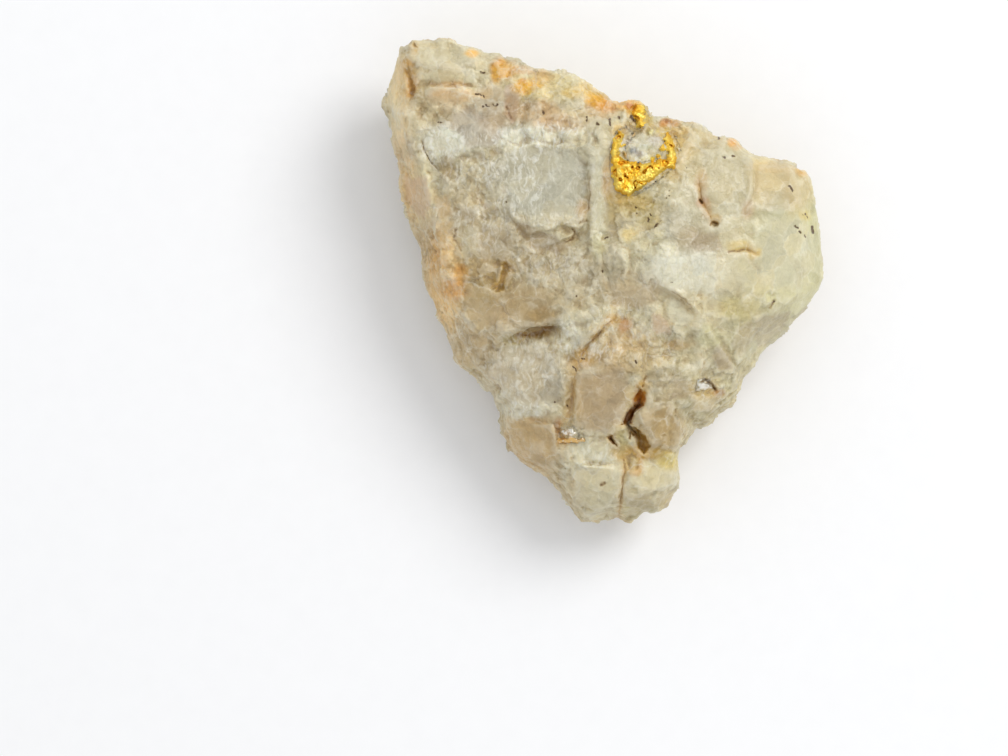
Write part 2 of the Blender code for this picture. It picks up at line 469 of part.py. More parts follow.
def fill_points(outline, lines, spacing, seed):
    """Jittered points in a hexagonal grid inside an outline, clear of the outline and the lines."""
    draw = random.Random(seed)
    keep_off = [p for line in lines for p in resampled(line, KEEP_OFF_STEP)]
    keep_off += resampled(outline, KEEP_OFF_STEP, closed=True)
    tree = KDTree(len(keep_off))
    for i, point in enumerate(keep_off):
        tree.insert(Vector((point[0], point[1], 0)), i)
    tree.balance()
    clear = min(CLEAR_OF_LINES, spacing * 0.5)
    xs = [p[0] for p in outline]
    ys = [p[1] for p in outline]
    row_step = spacing * math.sqrt(3) / 2
    points = []
    for row in range(int((max(ys) - min(ys)) / row_step) + 1):
        for column in range(int((max(xs) - min(xs)) / spacing) + 1):
            x = min(xs) + (column + 0.5 * (row % 2) + draw.uniform(-JITTER, JITTER)) * spacing
            y = min(ys) + (row + draw.uniform(-JITTER, JITTER)) * row_step
            if inside(x, y, outline) and tree.find(Vector((x, y, 0)))[2] > clear:
                points.append((x, y))
    return points


class Sheet:
    """Points and lines of one side of a body, turned into triangles."""

    def __init__(self, outline, ground):
        self.ground = ground
        self.points = [tuple(p[:3]) for p in outline]
        self.edges = [(i, (i + 1) % len(outline)) for i in range(len(outline))]
        self.loop_length = len(outline)

    def add_points(self, points):
        self.points += [(x, y, self.ground(x, y)) for x, y in points]

    def add_line(self, points, depths, closed=False):
        first = len(self.points)
        for (x, y), depth in zip(points, depths):
            self.points.append((x, y, self.ground(x, y) - depth))
        count = len(points)
        last = count if closed else count - 1
        self.edges += [(first + i, first + (i + 1) % count) for i in range(last)]

    def triangles(self):
        flat = [Vector((p[0], p[1])) for p in self.points]
        verts, _, faces, origins, _, _ = delaunay_2d_cdt(flat, self.edges, [], 1, MERGE_DISTANCE)
        solid = []
        keys = []
        for vert, origin in zip(verts, origins):
            height = self.points[origin[0]][2] if origin else self.ground(vert.x, vert.y)
            solid.append((vert.x, vert.y, height))
            keys.append(origin[0] if origin else None)
        return solid, faces, keys


def tapered(count, least, slope):
    """A share for each point of a path that is smaller towards both of its ends."""
    ends = [min(i, count - 1 - i) / count for i in range(count)]
    return [min(1.0, least + slope * end) for end in ends]


def add_ledges(sheet):
    """Two lines for each ledge, close together, at the heights of its top and its foot."""
    for line, drop in LEDGES.values():
        path = resampled(line, LINE_SPACING)
        taper = tapered(len(path), LEDGE_END, LEDGE_TAPER)
        for side in (1, -1):
            moved = offset_line(path, side * LEDGE_HALF_WIDTH)
            sheet.add_line(moved, [-side * drop / 2 * t for t in taper])


def crack_shoulder(path, side):
    """The edge of a crack, half its width away from the line along the bottom."""
    left = offset_line(path, side)
    return [tuple(p[k] + (q[k] - p[k]) * p[2] / 2 for k in (0, 1)) for p, q in zip(path, left)]


def add_cracks(sheet):
    """A sunken line along each crack, between two shoulder lines."""
    for line, depth in CRACKS.values():
        path = resampled(line, LINE_SPACING)
        taper = tapered(len(path), 0.0, CRACK_TAPER)
        sheet.add_line([p[:2] for p in path], [depth * t for t in taper])
        for side in (1, -1):
            sheet.add_line(crack_shoulder(path, side), [0.0] * len(path))


def add_hollows(sheet):
    """A rim and a smaller floor for each hollow."""
    for rim, depth in HOLLOWS.values():
        middle = [sum(p[k] for p in rim) / len(rim) for k in (0, 1)]
        floor = [tuple(m + (c - m) * HOLLOW_FLOOR for c, m in zip(p, middle)) for p in rim]
        sheet.add_line(rim, [0.0] * len(rim), closed=True)
        sheet.add_line(floor, [depth] * len(floor), closed=True)


def feature_lines():
    """Every line that the fill points keep clear of."""
    lines = [line for line, _ in LEDGES.values()]
    for line, _ in CRACKS.values():
        lines += [crack_shoulder(line, 1), crack_shoulder(line, -1)]
    lines += [rim + rim[:1] for rim, _ in HOLLOWS.values()]
    return lines


def stone_ground():
    """Height of the stone's upper side without cracks and hollows, and that of the bare net."""
    net = height_net(list(GIRDLE) + list(FACE_CORNERS), len(GIRDLE))
    coarse = broken_relief(*COARSE_RELIEF)
    fine = broken_relief(*FINE_RELIEF)

    def ground(x, y):
        amount = roughness_at(x, y)
        rough = noise.noise(Vector((x * ROUGH_SIZE, y * ROUGH_SIZE, 3.0))) * ROUGH_HEIGHT
        return net(x, y) + amount * (coarse(x, y) + fine(x, y) + rough)

    return ground


def under_ground():
    """Height of the stone's sides and underside."""
    corners = [(x, y, 0.0) for x, y in RESTING_FACE]
    net = height_net(list(GIRDLE) + corners + list(UNDER_CORNERS), len(GIRDLE))
    coarse = broken_relief(*UNDER_RELIEF)

    def ground(x, y):
        level = net(x, y)
        share = min(1.0, level / UNDER_FLAT)
        return max(0.0, level + share * coarse(x, y))

    return ground


def wandering_girdle():
    """The outline with fine spacing, its height rising and dipping along the way."""
    outline = []
    for x, y, z in resampled(GIRDLE, GIRDLE_SPACING, closed=True):
        place = Vector((x * GIRDLE_WAVES, y * GIRDLE_WAVES, MIDDLE_HEIGHT))
        wander = noise.noise(place) * 2 * GIRDLE_WANDER
        outline.append((x, y, z + wander))
    return outline


def push_walls(bm):
    """Press the side walls in by flat cells, so that they break like the rest of the stone."""
    draw = random.Random(WALL_SEED)
    half_width, half_length, top = WALL_BOX
    tree = KDTree(WALL_CELLS)
    for i in range(WALL_CELLS):
        x = draw.uniform(-half_width, half_width)
        y = draw.uniform(-half_length, half_length)
        tree.insert(placed(x, y, draw.uniform(0, top)), i)
    tree.balance()
    depths = [draw.uniform(LEAST_PUSH, 1.0) * WALL_PUSH * HEIGHT_SCALE for _ in range(WALL_CELLS)]
    lowest, highest = WALL_NORMALS
    for vert in bm.verts:
        if not vert.tag and lowest < vert.normal.z < highest:
            inward = Vector((-vert.normal.x, -vert.normal.y, 0)).normalized()
            vert.co += inward * depths[tree.find(vert.co)[1]]


def joined_mesh(upper, under, loop_length, wall):
    """One closed bmesh of an upper and an under sheet that share their outline."""
    bm = bmesh.new()
    rims = []
    for sheet, flip in ((upper, False), (under, True)):
        points, faces, keys = sheet.triangles()
        rim = {}
        verts = []
        for point, key in zip(points, keys):
            on_rim = key is not None and key < loop_length
            if on_rim and flip and not wall:
                vert = rims[0][key]
            else:
                vert = bm.verts.new(placed(*point))
            if on_rim:
                vert.tag = True
                rim[key] = vert
            verts.append(vert)
        rims.append(rim)
        for face in faces:
            corners = [verts[i] for i in face]
            bm.faces.new(corners[::-1] if flip else corners)
    if wall:
        for i in range(loop_length):
            j = (i + 1) % loop_length
            bm.faces.new((rims[0][i], rims[0][j], rims[1][j], rims[1][i]))
    bmesh.ops.recalc_face_normals(bm, faces=bm.faces)
    bmesh.ops.triangulate(bm, faces=bm.faces)
    bm.normal_update()
    return bm


def piece_material(name):
    red, green, blue, roughness, metallic = NODE_COLOURS[name]
    material = bpy.data.materials.new(name + "_material")
    material.use_nodes = True
    shader = material.node_tree.nodes["Principled BSDF"]
    shader.inputs["Base Color"].default_value = (red, green, blue, 1.0)
    shader.inputs["Roughness"].default_value = roughness
    shader.inputs["Metallic"].default_value = metallic
    material.diffuse_color = (red, green, blue, 1.0)
    return material


def object_from(bm, name):
    mesh = bpy.data.meshes.new(name)
    bm.to_mesh(mesh)
    bm.free()
    thing = bpy.data.objects.new(name, mesh)
    bpy.context.scene.collection.objects.link(thing)
    return thing


def make_quartz(ground):
    """The stone: the broken upper side and the sides and underside, joined at the girdle."""
    outline = wandering_girdle()
    upper = Sheet(outline, ground)
    add_hollows(upper)
    add_cracks(upper)
    add_ledges(upper)
    upper.add_points(fill_points(outline, feature_lines(), TOP_SPACING, TOP_SEED))
    under = Sheet(outline, under_ground())
    under.add_line(RESTING_FACE, [0.0] * len(RESTING_FACE), closed=True)
    sides = fill_points(outline, [RESTING_FACE + RESTING_FACE[:1]], UNDER_SPACING, UNDER_SEED)
    under.add_points([p for p in sides if not inside(*p, RESTING_FACE)])
    body = joined_mesh(upper, under, len(outline), wall=False)
    push_walls(body)
    stone = object_from(body, "quartz")
    stone.data.materials.append(piece_material("quartz"))
    return stone


def root_level(plan, root, ground):
    """Height of the flat foot of a rooted piece."""
    return min(ground(x, y) for x, y in plan) - root


def make_lump(name, plan, top, foot, spacing, hackle, seed, ground):
    """A rooted piece: hackly on top, with straight sides going down into the stone."""
    torn = broken_relief(seed, *TORN_RELIEF)

    def upper_ground(x, y):
        middle = min(1.0, distance_to_line(x, y, plan + plan[:1])[0] / LUMP_SHOULDER)
        return ground(x, y) + top + hackle * (torn(x, y) + LUMP_CROWN * middle)

    upper = Sheet([(x, y, upper_ground(x, y)) for x, y in plan], upper_ground)
    upper.add_points(fill_points(plan, [], spacing, seed))
    under = Sheet([(x, y, foot) for x, y in plan], lambda x, y: foot)
    lump = object_from(joined_mesh(upper, under, len(plan), wall=True), name)
    lump.data.materials.append(piece_material(name))
    return lump


def cut_socket(stone, name, plan, foot):
    """Cut the stone back from a rooted piece, by the gap on every side."""
    gap = GAP / HEIGHT_SCALE
    grown = offset_loop(plan, gap)
    floor = foot - gap
    upper = Sheet([(x, y, ABOVE_STONE) for x, y in grown], lambda x, y: ABOVE_STONE)
    under = Sheet([(x, y, floor) for x, y in grown], lambda x, y: floor)
    cutter = object_from(joined_mesh(upper, under, len(grown), wall=True), "socket_of_" + name)
    cutter.hide_render = True
    cutter.display_type = "WIRE"
    cut = stone.modifiers.new("socket of " + name, "BOOLEAN")
    cut.operation = "DIFFERENCE"
    cut.object = cutter
    cut.solver = "EXACT"


def build():
    clear_scene()
    ground = stone_ground()

    def lifted(x, y):
        return ground(x, y) + ledge_lift(x, y)

    stone = make_quartz(lifted)
    rooted = (
        ("gold_mass", GOLD_MASS_PLAN, GOLD_PROUD, GOLD_ROOT, GOLD_SPACING, HACKLE),
        ("gold_bead", GOLD_BEAD_PLAN, GOLD_PROUD, BEAD_ROOT, GOLD_SPACING, HACKLE),
        ("metal_grain_lower", LOWER_GRAIN_PLAN, GRAIN_TOP, GRAIN_ROOT, GRAIN_SPACING, GRAIN_HACKLE),
        ("metal_grain_right", RIGHT_GRAIN_PLAN, GRAIN_TOP, GRAIN_ROOT, GRAIN_SPACING, GRAIN_HACKLE),
    )
    for seed, (name, plan, top, root, spacing, hackle) in enumerate(rooted, start=LUMP_SEED):
        foot = root_level(plan, root, lifted)
        make_lump(name, plan, top, foot, spacing, hackle, seed, lifted)
        cut_socket(stone, name, plan, foot)


build()
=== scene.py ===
# %% [markdown]
# Gold in quartz
#
# The object is a broken piece of milky vein quartz, about 44 by 49 mm, with a horseshoe of native gold
# near its upper edge. A measured model gives the stone's outline, its main fracture faces and the place
# of every piece. This lesson dresses it: finer fracture faces, ledges, cracks and pits in the mesh, and
# materials for the milky stone, the gold and the bright grains.
#
# The stone could be sculpted by hand. Moving vertices in code was chosen, so that each ledge and stain
# has a name and a place that can be changed later.

# %% Load the measured model
import math

import bmesh
import bpy
import numpy as np
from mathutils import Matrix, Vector, noise
from mathutils.bvhtree import BVHTree
from mathutils.kdtree import KDTree


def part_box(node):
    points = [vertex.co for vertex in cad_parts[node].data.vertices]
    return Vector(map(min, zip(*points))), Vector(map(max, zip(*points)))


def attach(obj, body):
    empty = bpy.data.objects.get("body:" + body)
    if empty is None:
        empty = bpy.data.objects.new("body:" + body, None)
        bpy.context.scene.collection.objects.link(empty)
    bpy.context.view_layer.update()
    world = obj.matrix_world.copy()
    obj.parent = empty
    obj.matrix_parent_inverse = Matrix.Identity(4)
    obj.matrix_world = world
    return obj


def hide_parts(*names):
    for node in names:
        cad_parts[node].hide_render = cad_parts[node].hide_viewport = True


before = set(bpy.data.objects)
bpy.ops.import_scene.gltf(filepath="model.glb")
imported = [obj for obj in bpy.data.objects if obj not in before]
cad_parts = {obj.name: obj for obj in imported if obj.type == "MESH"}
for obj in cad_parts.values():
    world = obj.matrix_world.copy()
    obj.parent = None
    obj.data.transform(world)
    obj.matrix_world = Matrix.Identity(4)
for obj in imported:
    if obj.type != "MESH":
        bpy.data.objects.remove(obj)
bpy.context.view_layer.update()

# %% [markdown]
# Places on the stone
#
# Stains and cracks are placed by where they are seen in the photograph, in its pixels. One pixel is a
# tenth of a millimetre here, and the stone's middle lies at a known pixel, so one short function turns
# a pixel into a place on the stone. All the mesh work below is in millimetres, which keeps the numbers
# easy to read; the last step goes back to metres.

# %% From pixels to millimetres
MM = 0.001
MM_PER_PIXEL = 0.1
STONE_MIDDLE_PIXEL = (602.5, 281.0)


def on_stone(pixels):
    """Pixels of the photograph as x and y in millimetres on the stone."""
    spots = np.atleast_2d(np.array(pixels, float))
    x = (spots[:, 0] - STONE_MIDDLE_PIXEL[0]) * MM_PER_PIXEL
    y = (STONE_MIDDLE_PIXEL[1] - spots[:, 1]) * MM_PER_PIXEL
    return np.column_stack((x, y))


def smooth_step(values, low, high):
    """0 below low, 1 above high, and a soft curve between."""
    t = np.clip((values - low) / (high - low), 0, 1)
    return t * t * (3 - 2 * t)


def linear(red, green, blue):
    """A screen colour from 0 to 255 as the linear colour that shaders use."""
    return np.array([(c / 255) ** 2.2 for c in (red, green, blue)])


# %% [markdown]
# A finer mesh
#
# The measured stone has about five thousand triangles. Small ledges need points every 0.15 mm or so.
# A Subdivision modifier would split every face alike; splitting only the edges that are too long puts
# the points where the big triangles are, and keeps the corners. The side with the gold gets the finest
# mesh, because it is the one that is looked at.

# %% Split the long edges
FINE_EDGE = 0.29
COARSE_EDGE = 0.52
UPPER_FACE = 0.12
MOST_PASSES = 5
JOIN_DISTANCE = 1e-7


def stone_edge_limit(edge):
    """The longest edge allowed, in millimetres, from the way the stone faces there."""
    faces_up = any(face.normal.z > UPPER_FACE for face in edge.link_faces)
    return FINE_EDGE if faces_up else COARSE_EDGE


def split_long_edges(bm, edge_limit):
    """Halve every edge over its limit, a few times; slivers with no area are left as they are."""
    for _ in range(MOST_PASSES):
        bm.normal_update()
        long_edges = [e for e in bm.edges if e.calc_length() > edge_limit(e) * MM]
        if not long_edges:
            return
        bmesh.ops.subdivide_edges(bm, edges=long_edges, cuts=1)
        bmesh.ops.triangulate(bm, faces=[f for f in bm.faces if len(f.verts) > 3])


def copy_of_node(node):
    """A bmesh with the same shape as a measured node, its corners joined."""
    bm = bmesh.new()
    bm.from_mesh(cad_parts[node].data)
    bmesh.ops.remove_doubles(bm, verts=bm.verts, dist=JOIN_DISTANCE)
    return bm


stone_bm = copy_of_node("quartz")
split_long_edges(stone_bm, stone_edge_limit)
print("fine stone triangles:", len(stone_bm.faces))

# %% From a mesh to arrays and back
stone_mesh = bpy.data.meshes.new("quartz_stone")
stone_bm.to_mesh(stone_mesh)
stone_bm.free()


def read_points(mesh):
    values = np.zeros(len(mesh.vertices) * 3, np.float32)
    mesh.vertices.foreach_get("co", values)
    return values.reshape(-1, 3).astype(float) / MM


def read_normals(mesh):
    values = np.zeros(len(mesh.vertices) * 3, np.float32)
    mesh.vertex_normals.foreach_get("vector", values)
    return values.reshape(-1, 3).astype(float)


def put_points(mesh, places):
    mesh.vertices.foreach_set("co", (places * MM).astype(np.float32).ravel())
    mesh.update()


points = read_points(stone_mesh)
print("fine stone points:", len(points))

# %% [markdown]
# Closing the sockets
#
# The measured stone has a narrow gap around each rooted piece. On the real stone the quartz grows tight
# against the gold, so the points in and beside a socket are lifted to the height of the ground around
# it, and the gold then stands in closed stone.

# %% Fill the ground around rooted pieces
SOCKET_MARGIN = 0.80
SOCKET_RIM = 0.9
SOCKET_REACH = 2
RIM_NEIGHBOURS = 24
NEAREST = 0.05
ROOTED = ("gold_mass", "gold_bead", "metal_grain_lower", "metal_grain_right")


def plan_tree(places):
    """A search tree of places seen from above."""
    tree = KDTree(len(places))
    for i, place in enumerate(places):
        tree.insert(Vector((place[0], place[1], 0)), i)
    tree.balance()
    return tree


def points_around(node, reach):
    """Upper points of the stone within reach of a node's box."""
    low, high = (np.array(corner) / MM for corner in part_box(node))
    close = (points[:, :2] > low[:2] - reach) & (points[:, :2] < high[:2] + reach)
    return np.nonzero(close.all(1) & (points[:, 2] > low[2] - 1))[0]


def fill_socket(node):
    rooted_tree = plan_tree(read_points(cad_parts[node].data))
    rows = points_around(node, SOCKET_REACH)
    away = np.array([rooted_tree.find(Vector((*points[i, :2], 0)))[2] for i in rows])
    inside = rows[away < SOCKET_MARGIN]
    rim = rows[(away >= SOCKET_MARGIN) & (away < SOCKET_MARGIN + SOCKET_RIM)]
    ground = plan_tree(points[rim])
    for i in inside:
        found = ground.find_n(Vector((points[i, 0], points[i, 1], 0)), RIM_NEIGHBOURS)
        weights = np.array([1 / (NEAREST + hit[2]) for hit in found])
        heights = np.array([points[rim[hit[1]], 2] for hit in found])
        points[i, 2] = float((weights * heights).sum() / weights.sum())
    print(node, "socket points lifted:", len(inside))


for node in ROOTED:
    fill_socket(node)

# %% [markdown]
# Softening the big triangles
#
# After splitting, the stone still looks like folded paper, because every new point lies on a flat
# triangle. A few rounds in which each point moves halfway to the average of its neighbours turn the
# folds into broken but natural ground. Too many would melt the crevice, so the count is small.

# %% Smooth a little
SMOOTH_ROUNDS = 8
SIDE_ROUNDS = 3
UPWARD = (0.05, 0.3)


def averaged(mesh, places, rounds):
    """The places after each has moved halfway to its neighbours' average, round after round."""
    ends = np.zeros(len(mesh.edges) * 2, np.int32)
    mesh.edges.foreach_get("vertices", ends)
    ends = ends.reshape(-1, 2)
    count = np.bincount(ends.ravel(), minlength=len(places))
    average = places.copy()
    for _ in range(rounds):
        for k in range(3):
            total = np.bincount(ends[:, 0], average[ends[:, 1], k], len(places))
            total += np.bincount(ends[:, 1], average[ends[:, 0], k], len(places))
            average[:, k] = (average[:, k] + total / count) / 2
    return average


put_points(stone_mesh, points)
upward = smooth_step(read_normals(stone_mesh)[:, 2], *UPWARD)[:, None]
crisp = averaged(stone_mesh, points, SIDE_ROUNDS)
points = crisp + (averaged(stone_mesh, points, SMOOTH_ROUNDS) - crisp) * upward
put_points(stone_mesh, points)
normals = read_normals(stone_mesh)
facing_up = smooth_step(normals[:, 2], *UPWARD)

# %% [markdown]
# Distances to lines and faces
#
# Nearly every feature is a line or a closed outline drawn on the stone: a ledge, a crack, the edge of a
# flat fracture face. Two helpers measure how far each point of the mesh lies from such a line, for all
# points at once with numpy, which is far quicker than a loop over vertices.

# %% Distance helpers
def line_distance(spots, line):
    """Distance to an open line, the side (1 left, -1 right) and how far along it, from 0 to 1."""
    best = np.full(len(spots), 1e9)
    side = np.ones(len(spots))
    along = np.zeros(len(spots))
    steps = np.linalg.norm(np.diff(line, axis=0), axis=1)
    walked = np.concatenate(([0], np.cumsum(steps)))
    for i, step in enumerate(steps):
        way = (line[i + 1] - line[i]) / step
        rel = spots - line[i]
        t = np.clip(rel @ way, 0, step)
        away = np.linalg.norm(rel - t[:, None] * way, axis=1)
        nearer = away < best
        best[nearer] = away[nearer]
        cross = way[0] * rel[:, 1] - way[1] * rel[:, 0]
        side[nearer] = np.where(cross[nearer] > 0, 1, -1)
        along[nearer] = (walked[i] + t[nearer]) / walked[-1]
    return best, side, along


def depth_inside(spots, outline):
    """Distance to a closed outline, positive inside it and negative outside."""
    closed = np.vstack((outline, outline[:1]))
    away, _, _ = line_distance(spots, closed)
    inside = np.zeros(len(spots), bool)
    for a, b in zip(closed[:-1], closed[1:]):
        spans = (a[1] > spots[:, 1]) != (b[1] > spots[:, 1])
        if a[1] != b[1]:
            cut = (b[0] - a[0]) * (spots[:, 1] - a[1]) / (b[1] - a[1]) + a[0]
            inside ^= spans & (spots[:, 0] < cut)
    return np.where(inside, away, -away)


def near_box(corners, margin):
    """Indexes of the upward-facing points within a margin of a line's bounding box."""
    low = corners.min(0) - margin
    high = corners.max(0) + margin
    plan = points[:, :2]
    return np.nonzero(((plan > low) & (plan < high)).all(1) & (facing_up > 0))[0]


# %% [markdown]
# Wandering edges
#
# A drawn line is too straight for broken stone. Every distance below is measured from places that
# wander a little, by smooth noise, so that the edges wobble as real ones do. The same wandering places
# serve the paint later, and then a stain follows the crack that it came from.

# %% Noise on every point
def noise_at(places, size, shift=0.0):
    """Smooth noise from -1 to 1 with features of the given size in millimetres."""
    return np.array([noise.noise(Vector((x / size + shift, y / size, z / size))) for x, y, z in places])


FACE_WANDER = 1.9


def wander(shift):
    return noise_at(points, 1.1, shift) * 0.16 + noise_at(points, 0.4, shift + 4) * 0.06


drift = np.column_stack((wander(10), wander(20)))
plan = points[:, :2] + drift
face_plan = points[:, :2] + drift * FACE_WANDER
print("wander, mm:", round(float(np.abs(drift).max()), 2))

# %% [markdown]
# Easing a few deep lines
#
# The measured model cuts its cracks and ledges wide enough to be seen in a plain solid. Some of them are
# only hair lines on the stone, so the ground beside them is eased towards a strongly smoothed copy of
# itself before the fine versions are cut.

# %% Ease the ground along lines
EASE_ROUNDS = 60
EASED = (
    (((418, 136), (421, 148), (427, 160), (438, 172)), 1.1, 1.0),
    (((621, 450), (623, 472), (619, 496), (616, 520)), 1.0, 0.9),
    (((497, 140), (511, 149), (530, 149), (550, 148), (570, 147), (590, 146)), 0.9, 0.85),
    (((586, 150), (588, 190), (587, 216)), 1.4, 1.0),
    (((642, 386), (637, 400), (630, 411), (622, 422)), 1.0, 0.95),
    (((626, 418), (638, 432), (648, 445)), 1.0, 0.95),
    (((604, 437), (612, 445)), 0.7, 0.9),
    (((577, 362), (572, 376), (570, 396), (566, 412)), 0.9, 0.8),
    (((590, 214), (578, 222), (548, 222), (511, 213)), 0.8, 0.7),
    (((513, 127), (517, 112), (518, 96), (512, 86)), 1.0, 1.0),
    (((550, 328), (536, 332), (513, 335)), 0.9, 0.6),
    (((402, 60), (405, 74), (409, 92), (405, 102)), 0.9, 0.8),
    (((414, 88), (445, 88), (470, 92)), 0.8, 0.6),
    (((599, 232), (602, 258), (604, 290), (615, 318)), 1.0, 0.8),
)
eased = averaged(stone_mesh, points, EASE_ROUNDS)[:, 2]
for line, reach, share in EASED:
    path = on_stone(line)
    rows = near_box(path, 2 * reach)
    away, _, _ = line_distance(plan[rows], path)
    blend = np.exp(-(away / reach) ** 2) * share
    points[rows, 2] += (eased[rows] - points[rows, 2]) * blend

# %% [markdown]
# Flat fracture faces
#
# Quartz has no cleavage, but broken vein quartz shows many flat or gently curved faces with sharp
# borders, and each catches the light at its own angle. Each face below has an outline, how much it is
# tipped to the right and upwards, in degrees, and the colour that it shows. A plane is fitted to the
# ground inside the outline, tipped, and the ground is moved onto it. That gives crisp, flat faces
# exactly where the photograph has them.

# %% The faces
CREAM = linear(206, 197, 170)
PALE_CREAM = linear(216, 210, 188)
GREEN_CREAM = linear(203, 199, 163)
FROST = linear(226, 225, 214)
COOL_GREY = linear(190, 187, 174)
LAVENDER = linear(184, 173, 160)
TAN = linear(200, 178, 142)
WARM_TAN = linear(196, 168, 128)
MAUVE = linear(186, 160, 134)
BROWN_GREY = linear(178, 162, 136)
OLIVE = linear(148, 124, 72)
OCHRE = linear(205, 158, 78)
MUSTARD = linear(222, 170, 52)
ORANGE = linear(216, 152, 16)
RUST = linear(200, 128, 40)
DARK_BROWN = linear(104, 68, 16)
BLACK = linear(82, 54, 10)

